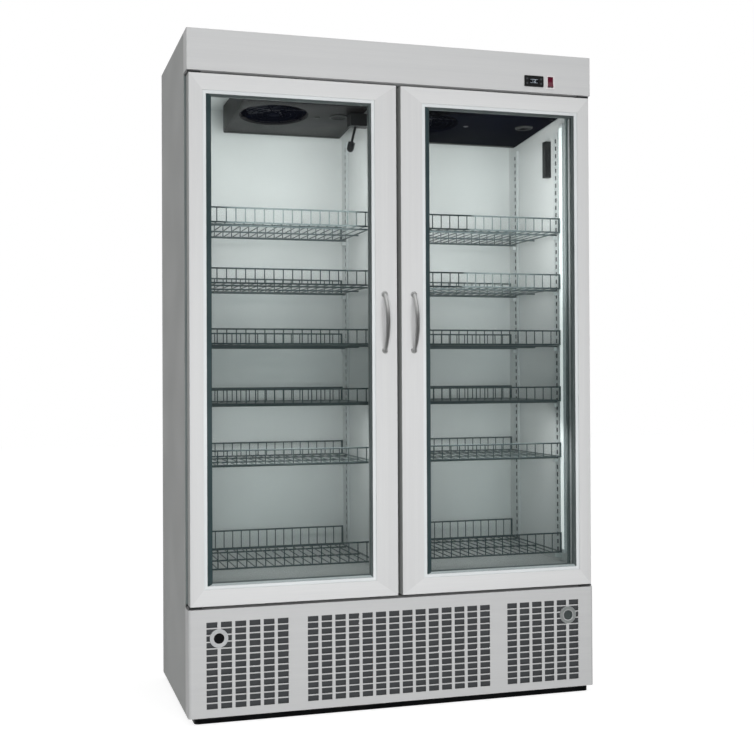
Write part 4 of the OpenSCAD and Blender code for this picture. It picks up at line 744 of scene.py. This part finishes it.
def makeUnitCover(side, finishName, fanAt, slope):
    v = unitValues
    low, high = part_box("fan_covers")
    x0, x1, fanX = v[side]
    z = fanAt.z
    bm = bmesh.new()
    corners, outer = addLoop(bm, ((x0, low.y, z), (x1, low.y, z), (x1, high.y, z), (x0, high.y, z)))
    bmesh.ops.create_circle(bm, cap_ends=False, radius=v["fanRadius"], segments=v["fanSides"],
                            matrix=Matrix.Translation(fanAt))
    edges = [edge for edge in bm.edges if edge not in outer]
    bmesh.ops.triangle_fill(bm, use_beauty=True, use_dissolve=False, edges=bm.edges[:])
    bmesh.ops.transform(bm, matrix=slope, verts=bm.verts[:])
    bmesh.ops.scale(bm, vec=(1, 1, 0), verts=pull(bm, outer)[1], space=Matrix.Translation((0, 0, -high.z)))
    for rise, narrow in v["rim"]:   # rolled rim of the fan opening
        edges, ring, faces = pull(bm, edges)
        bmesh.ops.translate(bm, vec=(0, 0, rise), verts=ring)
        bmesh.ops.scale(bm, vec=(narrow, narrow, 1), verts=ring, space=Matrix.Translation(-fanAt))
    bmesh.ops.recalc_face_normals(bm, faces=bm.faces)
    bends = [edge for edge in bm.edges if len(edge.link_faces) == 2 and set(edge.verts) & set(corners)
             and edge.calc_face_angle(0) > v["bendAngle"]]
    roundEdges(bm, bends, v["corner"], 3)
    bmesh.ops.recalc_face_normals(bm, faces=bm.faces)
    bmesh.ops.solidify(bm, geom=bm.faces[:], thickness=v["sheet"])
    finishPiece("ceilingUnit_" + side, bm, "cabinet", [finishName],
                ["fan_covers"] if side == "left" else [])


def makeFanWell(side, fanAt, slope):
    # Dark well round the fan
    v = unitValues
    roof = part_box("fan_covers")[1].z - v["wellRoof"] - fanAt.z
    d = roof - v["wellSheet"]
    lip, wide, narrow = v["wellLip"], v["fanRadius"] + v["wellOut"], v["fanRadius"] - v["wellIn"]
    outline = [(0, roof), (wide, roof), (wide, lip), (narrow, lip), (narrow, d), (0, d)]
    bm = bmesh.new()
    addTurned(bm, outline, fanAt, (0, 0, 1), 48)
    bmesh.ops.transform(bm, matrix=slope, verts=[vert for vert in bm.verts if vert.co.z < fanAt.z + d / 2])
    finishPiece("fanWell_" + side, bm, "cabinet", ["coverNavy"])


guardValues = dict(rings=6, sides=48, wire=0.0013, spread=0.0015, ringHeight=0.0006, spokes=4,
                   spokeReach=0.006, spokeHeight=0.0026,
                   hub=((0, -0.0006), (0.014, -0.0006), (0.017, 0.0012), (0.017, 0.0034), (0, 0.0034)))


def makeFanGuard(side, fanAt, slope):
    # Wire rings and spokes with a turned hub
    v = guardValues
    r = unitValues["fanRadius"]

    def around(size, degrees, height):
        a = math.radians(degrees)
        return fanAt + Vector((size * math.cos(a), size * math.sin(a), height))

    turns = [360 / v["sides"] * k for k in range(v["sides"])]
    rings = [[around(r * i / v["rings"] + v["spread"], turn, v["ringHeight"]) for turn in turns]
             for i in range(1, v["rings"] + 1)]
    reach = r + v["spokeReach"]
    spokes = [[around(t * reach, 180 / v["spokes"] * (k + 0.5), v["spokeHeight"]) for t in (-1, 1)]
              for k in range(v["spokes"])]
    bm = bmesh.new()
    wiresToMesh(bm, rings, v["wire"], 1, closed=True)
    wiresToMesh(bm, spokes, v["wire"], 1)
    addTurned(bm, v["hub"], fanAt, (0, 0, 1))
    bmesh.ops.transform(bm, matrix=slope, verts=bm.verts[:])
    finishPiece("fanGuard_" + side, bm, "cabinet", ["coverNavy"])


trimValues = dict(outletEnd=0.012, outletFront=0.024, outletBack=0.010, proud=0.0012, depth=0.0014,
                  edge=0.0008, bossEnd=0.070, bossForward=0.02, plugAside=0.138,
                  boss=((0, 0), (0.022, 0), (0.026, -0.003), (0.028, -0.003), (0.030, 0.0008), (0, 0.0008)),
                  plug=((0, -0.002), (0.007, -0.002), (0.009, 0.0008), (0, 0.0008)))


def makeUnitTrim(side, fanAt, slope):
    # Air outlet along the rear edge, drain boss and plug beside the fan
    v = trimValues
    x0, x1, fanX = unitValues[side]
    back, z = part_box("fan_covers")[1].y, fanAt.z
    bm = bmesh.new()
    addBlock(bm, (x0 + v["outletEnd"], back - v["outletFront"], z - v["proud"]),
             (x1 - v["outletEnd"], back - v["outletBack"], z + v["depth"]), v["edge"], 1)
    addTurned(bm, v["boss"], (x1 - v["bossEnd"], fanAt.y - v["bossForward"], z), (0, 0, 1), 32)
    addTurned(bm, v["plug"], (fanX + v["plugAside"], fanAt.y, z), (0, 0, 1), 20)
    bmesh.ops.transform(bm, matrix=slope, verts=bm.verts[:])
    finishPiece("unitTrim_" + side, bm, "cabinet", ["blackPlastic"])


for side, finishName in (("left", "coverGrey"), ("right", "coverNavy")):
    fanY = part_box("fan_covers")[0].y + unitValues["fanFromFront"]
    fanAt = Vector((unitValues[side][2], fanY, unitFloor(fanY)))
    slope = slopeAbout(fanAt)
    makeUnitCover(side, finishName, fanAt, slope)
    makeFanWell(side, fanAt, slope)
    makeFanGuard(side, fanAt, slope)
    makeUnitTrim(side, fanAt, slope)
print("ceiling units made")

# Air slots and locks of the lower panel
bladeValues = dict(first=0.044, rows=13, rowPitch=0.0194, slotHeight=0.016, slotWidth=0.032,
                   columnPitch=0.0416, fields=((-0.584, 6), (-0.2864, 14), (0.344, 6)), drop=0.0180,
                   depth=0.0065, sheet=0.0009, behind=0.0014, lap=0.0004, lockRoom=0.0165, lockRise=0.012,
                   least=0.001)


def panelFace():
    # Front of the panel's sheet, from which only the rings round the locks stand out
    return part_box("lower_panel")[0].y + lockValues["ringRise"]


def makeBlades():
    # Each slot's strip is pressed in and hangs down behind it; the strips beside a lock leave room for it
    v = bladeValues
    back = panelFace() + v["behind"]
    bm = bmesh.new()
    for x0, columns in v["fields"]:
        for i, k in ((i, k) for i in range(columns) for k in range(v["rows"])):
            left = x0 + i * v["columnPitch"] - v["lap"]
            right = left + v["slotWidth"] + 2 * v["lap"]
            top = v["first"] + k * v["rowPitch"] + v["slotHeight"] + 2 * v["lap"]
            lockX = math.copysign(lockValues["x"], left)
            beside = left - v["lockRoom"] < lockX < right + v["lockRoom"]
            if beside and abs(top - v["slotHeight"] / 2 - lockValues["z"]) < v["lockRise"]:
                if left + right < 2 * lockX:
                    right = lockX - v["lockRoom"]
                else:
                    left = lockX + v["lockRoom"]
            if right - left > v["least"]:
                verts = addBlock(bm, (left, back, top - v["drop"]), (right, back + v["sheet"], top))
                low = [vert for vert in verts if vert.co.z < top - v["drop"] / 2]
                bmesh.ops.translate(bm, vec=(0, v["depth"], 0), verts=low)
    # The strips are pressed from the panel's own sheet; their dark finish is painted shade
    finishPiece("slotBlades", bm, "service_panel", ["slotShade"])


lockValues = dict(x=0.548, z=0.246, outer=0.0268, inner=0.0158, proud=0.0034, ringRise=0.003, core=0.0144,
                  square=0.0196, rim=((0.0006, 1.04), (0.0021, 1.0)), recess=((0.0018, 0.94),),
                  shaft=0.005, shaftSink=0.0004, shaftLength=0.016, camWidth=0.012, camLength=0.034,
                  camSheet=0.003, camEdge=0.0008)


def makeLockCore(side, sign, faceFinish, recessFinish):
    # A round core with a square pressed into its face, its shaft and the cam behind the panel
    v = lockValues
    x, y, z = sign * v["x"], panelFace(), v["z"]
    front = y - v["ringRise"]
    bm = bmesh.new()
    turn = Matrix.Translation((x, front, z)) @ Matrix.Rotation(math.radians(90), 4, "X")
    bmesh.ops.create_circle(bm, cap_ends=False, radius=v["core"], segments=40, matrix=turn)
    rim = bm.edges[:]
    h = v["square"] / 2
    square = addLoop(bm, upright(x - h, x + h, z - h, z + h, front))[1]
    bmesh.ops.triangle_fill(bm, use_beauty=True, use_dissolve=False, edges=bm.edges[:])
    for edges, steps, index in ((rim, v["rim"], 0), (square, v["recess"], 1)):
        for depth, grow in steps:
            edges, corners, faces = pull(bm, edges)
            bmesh.ops.translate(bm, vec=(0, depth, 0), verts=corners)
            bmesh.ops.scale(bm, vec=(grow, 1, grow), verts=corners, space=Matrix.Translation((-x, 0, -z)))
        for face in faces + bmesh.ops.contextual_create(bm, geom=edges)["faces"]:
            face.material_index = index
    r, length, wide = v["shaft"], v["shaftLength"], v["camWidth"] / 2
    addTurned(bm, [(0, 0), (r, 0), (r, length), (0, length)], (x, y - v["shaftSink"], z), (0, 1, 0), 20)
    addBlock(bm, (x - wide, y + length - v["camSheet"], z - v["camLength"]),
             (x + wide, y + length, z + wide), v["camEdge"])
    finishPiece("lockCore_" + side, bm, "lock_" + side, [faceFinish, recessFinish],
                ["panel_lock_" + side])


def makeLockRing(side, sign, finishName):
    v = lockValues
    o, i, p = v["outer"], v["inner"], v["proud"]
    outline = [(o, 0), (o, p - 0.001), (o - 0.0008, p), (i + 0.003, p), (i + 0.0012, p - 0.0003),
               (i, p - 0.0012), (i, 0)]
    bm = bmesh.new()
    addTurned(bm, outline, (sign * v["x"], panelFace(), v["z"]), (0, -1, 0), 40)
    finishPiece("lockRing_" + side, bm, "service_panel", [finishName])


makeBlades()
# One lock part twice: the left ring's pale tone and black core, against the right's grey ring and core, are
# painted light and shade
makeLockRing("left", -1, "lockRing")
makeLockRing("right", 1, "ringGrey")
makeLockCore("left", -1, "lockBlack", "lockBlack")
makeLockCore("right", 1, "lockGrey", "lockGrey")
print("slots and locks made")

# Screws of the back and of the ceiling units
screwValues = dict(radius=0.0042, height=0.0020, sink=0.0004, rows=(-0.615, -0.3, 0, 0.3, 0.615),
                   fromEdge=0.012, grilleEdge=0.008, columns=(-0.615, 0.615),
                   columnHeights=(0.65, 0.95, 1.25, 1.55), backSink=0.0021, coverEdge=0.016,
                   coverSink=0.0008)


def addScrew(bm, centre, axis):
    r, h = screwValues["radius"], screwValues["height"]
    outline = [(0, h * 0.8), (r * 0.45, h), (r * 0.8, h * 0.75), (r, h * 0.3), (r, -screwValues["sink"])]
    addTurned(bm, outline, centre, axis, 16)


def makeScrews():
    v = screwValues
    back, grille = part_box("back_panel"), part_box("rear_grille")
    heights = (back[0].z + v["fromEdge"], back[1].z - v["fromEdge"], grille[0].z + v["fromEdge"],
               grille[1].z - v["grilleEdge"])
    places = [(x, z) for x in v["rows"] for z in heights]
    places += [(x, z) for x in v["columns"] for z in v["columnHeights"]]
    bm = bmesh.new()
    for x, z in places:
        addScrew(bm, (x, back[1].y - v["backSink"], z), (0, 1, 0))
    finishPiece("backScrews", bm, "cabinet", ["screwZinc"])
    bm = bmesh.new()   # screws under the two ceiling units
    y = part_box("fan_covers")[0].y + v["coverEdge"]
    for side in sides:
        x0, x1, fanX = unitValues[side]
        for x in (x0 + v["coverEdge"], x1 - v["coverEdge"]):
            addScrew(bm, (x, y, unitFloor(y) + v["coverSink"]), (0, 0, -1))
    finishPiece("coverScrews", bm, "cabinet", ["blackPlastic"])


makeScrews()
print("screws made")

# The thermostat's reading
displayValues = dict(x=0.443, z=1.914, height=0.0072, width=0.0042, stroke=0.0009,
                     signs=((-0.0045, "g"), (0.0035, "abged")), lineRise=0.0052, lineReach=0.0125,
                     proud=0.00012, lineProud=0.0001, sink=0.0003, lineShare=0.45)


def makeDisplay():
    # A dash and a 2 on the window, between two pale lines
    v = displayValues
    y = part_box("thermostat_window")[0].y
    w, h, s = v["width"], v["height"], v["stroke"]
    # The seven bars of a figure
    bars = {"a": (0, h / 2, w, s), "g": (0, 0, w, s), "d": (0, -h / 2, w, s), "f": (-w / 2, h / 4, s, h / 2),
            "b": (w / 2, h / 4, s, h / 2), "e": (-w / 2, -h / 4, s, h / 2), "c": (w / 2, -h / 4, s, h / 2)}
    bm = bmesh.new()
    for x, parts in v["signs"]:
        for part in parts:
            dx, dz, wide, tall = bars[part]
            midX, midZ = v["x"] + x + dx, v["z"] + dz
            addBlock(bm, (midX - wide / 2, y - v["proud"], midZ - tall / 2),
                     (midX + wide / 2, y + v["sink"], midZ + tall / 2))
    x0, x1, half = v["x"] - v["lineReach"], v["x"] + v["lineReach"], s * v["lineShare"]
    for z in (v["z"] - v["lineRise"], v["z"] + v["lineRise"]):
        addBlock(bm, (x0, y - v["lineProud"], z - half), (x1, y + v["sink"], z + half))
    finishPiece("displayDigits", bm, "cabinet", ["displayGlow"])


makeDisplay()
print("display made")

# Compressor
compressorValues = dict(x=0.130, y=0.135, radius=0.085, rise=0.003, footEdge=0.004, shoulder=0.136,
                        domeSteps=7, seam=((0, 0.094), (0.004, 0.096), (0.004, 0.101), (0, 0.103)),
                        plate=(0.117, 0.092), plateSheet=0.003, plateEdge=0.0012, boxInside=0.004,
                        boxReach=0.028, boxHalf=0.032, boxHeights=(0.043, 0.113), boxEdge=0.005, sharp=40)


def makeCompressor():
    # Welded shell with its seam and dome, a base plate and a terminal box
    v = compressorValues
    low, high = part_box("compressor")
    x, y, z, r = v["x"], v["y"], low.z, v["radius"]
    outline = [(0, v["rise"]), (r - v["footEdge"], v["rise"]), (r, v["rise"] + v["footEdge"])]
    outline += [(r + out, up) for out, up in v["seam"]] + [(r, v["shoulder"])]
    for k in range(1, v["domeSteps"] + 1):
        a = math.radians(k * 90 / v["domeSteps"])
        outline.append((r * math.cos(a) if k < v["domeSteps"] else 0,
                        v["shoulder"] + (high.z - z - v["shoulder"]) * math.sin(a)))
    bm = bmesh.new()
    addTurned(bm, outline, (x, y, z), (0, 0, 1), 48)
    halfX, halfY = v["plate"]
    addBlock(bm, (x - halfX, y - halfY, z), (x + halfX, y + halfY, z + v["plateSheet"]), v["plateEdge"])
    bottom, top = v["boxHeights"]
    addBlock(bm, (x + r - v["boxInside"], y - v["boxHalf"], z + bottom),
             (x + r + v["boxReach"], y + v["boxHalf"], z + top), v["boxEdge"], 3)
    finishPiece("compressorShell", bm, "cabinet", ["shellPaint"], ["compressor"],
                v["sharp"])


makeCompressor()
print("compressor made")

# Camera, floor, world and lights
cameraValues = dict(place=(-1.1184, -3.8529, 1.0037), turn=17.235, tilt=0.528, roll=-0.281, focal=1243.35,
                    picture=754, centre=(396.2, 362.25), sensor=36.0, clipEnd=60)


def makeCamera():
    v = cameraValues
    data = bpy.data.cameras.new("photoCamera")
    data.sensor_width = v["sensor"]
    data.lens = v["sensor"] * v["focal"] / v["picture"]
    data.shift_x = (v["picture"] / 2 - v["centre"][0]) / v["picture"]
    data.shift_y = (v["centre"][1] - v["picture"] / 2) / v["picture"]
    data.clip_end = v["clipEnd"]
    camera = bpy.data.objects.new("photoCamera", data)
    camera.location = v["place"]
    aim = Matrix.Identity(4)
    for degrees, axis in ((-v["turn"], "Z"), (90 + v["tilt"], "X"), (v["roll"], "Z")):
        aim = aim @ Matrix.Rotation(math.radians(degrees), 4, axis)
    camera.rotation_euler = aim.to_euler()
    scene.collection.objects.link(camera)
    scene.camera = camera


floorValues = dict(size=14.0, tone=0.40, lift=0.84, rough=0.9, spec=0.1)


def makeFloor():
    v = floorValues
    bm = bmesh.new()
    bmesh.ops.create_grid(bm, x_segments=2, y_segments=2, size=v["size"])
    mesh = bpy.data.meshes.new("studioFloor")
    bm.to_mesh(mesh)
    bm.free()
    floor = bpy.data.objects.new("studioFloor", mesh)
    scene.collection.objects.link(floor)
    material, tree, shader = newMaterial("studioFloor")
    feed(tree, shader, {"Base Color": (v["tone"],) * 3, "Roughness": v["rough"],
                        "Specular IOR Level": v["spec"]})
    # Seen directly, the floor lifts to white and keeps the soft shadow
    path = addNode(tree, "ShaderNodeLightPath")
    lift = combine(tree, "MULTIPLY", path.outputs["Is Camera Ray"], v["lift"])
    glow = addNode(tree, "ShaderNodeEmission", {"Color": (1, 1, 1), "Strength": lift})
    both = addNode(tree, "ShaderNodeAddShader", {0: shader.outputs["BSDF"], 1: glow.outputs["Emission"]})
    feed(tree, tree.nodes["Material Output"], {"Surface": both.outputs["Shader"]})
    mesh.materials.append(material)
    floor.visible_glossy = False   # panes and metal show the backdrop instead, so the glass stays clear
    floor.visible_transmission = False


worldValues = dict(light=0.35, seen=1.0, darkSide=0.02, behind=(-0.25, 0.1), above=(0.3, 0.7))


def makeWorld():
    # White backdrop behind and above; panes and metal mirror a dim room on the camera's side, so the
    # glass stays clear
    v = worldValues
    world = bpy.data.worlds.new("studioWorld")
    scene.world = world
    world.use_nodes = True
    tree = world.node_tree
    where = addNode(tree, "ShaderNodeTexCoord")
    axes = addNode(tree, "ShaderNodeSeparateXYZ", {"Vector": where.outputs["Generated"]})
    behind = remap(tree, axes.outputs["Y"], *v["behind"], v["darkSide"], 1.0)
    above = remap(tree, axes.outputs["Z"], *v["above"], v["darkSide"], 1.0)
    path = addNode(tree, "ShaderNodeLightPath").outputs
    # A sight line that goes straight through a pane, without a reflection, ends on white from every side
    straight = combine(tree, "MULTIPLY", path["Is Transmission Ray"],
                       combine(tree, "LESS_THAN", path["Glossy Depth"], 0.5))
    mirrored = combine(tree, "MAXIMUM", combine(tree, "MAXIMUM", behind, above), straight)
    glossy = combine(tree, "MAXIMUM", path["Is Glossy Ray"], path["Is Transmission Ray"])
    unseen = blend(tree, "FLOAT", glossy, v["light"], mirrored)
    strength = blend(tree, "FLOAT", path["Is Camera Ray"], unseen, v["seen"])
    feed(tree, tree.nodes["Background"], {"Color": (1, 1, 1), "Strength": strength})


lampRig = {
    "keyLight": dict(place=(-0.50, -3.9, 0.70), target=(-0.1, -0.3, 0.70), size=(3.2, 1.2), watts=112),
    "topLight": dict(place=(0.4, -0.6, 4.6), target=(0.0, 0.0, 0.0), size=(3.0, 3.0), watts=30),
    "leftRoom": dict(place=(-0.308, -0.205, 1.56), target=(-0.308, 0.3, 1.56), size=(0.40, 0.47), watts=2.35),
    "leftLow": dict(place=(-0.308, -0.185, 0.84), target=(-0.308, 0.08, 0.40), size=(0.40, 0.16), watts=0.95),
    "rightRoom": dict(place=(0.308, -0.205, 1.52), target=(0.44, 0.3, 1.50), size=(0.40, 0.55), watts=2.45),
    "rightLow": dict(place=(0.308, -0.185, 0.84), target=(0.34, 0.08, 0.40), size=(0.40, 0.16), watts=0.85),
}


def makeLights():
    for name, v in lampRig.items():
        data = bpy.data.lights.new(name, "AREA")
        data.shape = "RECTANGLE"
        data.size, data.size_y = v["size"]
        data.energy = v["watts"]
        light = bpy.data.objects.new(name, data)
        light.location = v["place"]
        aim = Vector(v["target"]) - Vector(v["place"])
        light.rotation_euler = aim.to_track_quat("-Z", "Y").to_euler()
        light.visible_camera = False
        light.visible_glossy = False
        light.visible_transmission = False
        scene.collection.objects.link(light)


makeCamera()
makeFloor()
makeWorld()
makeLights()
scene.view_settings.view_transform = "Standard"
print("camera, floor and lights set")
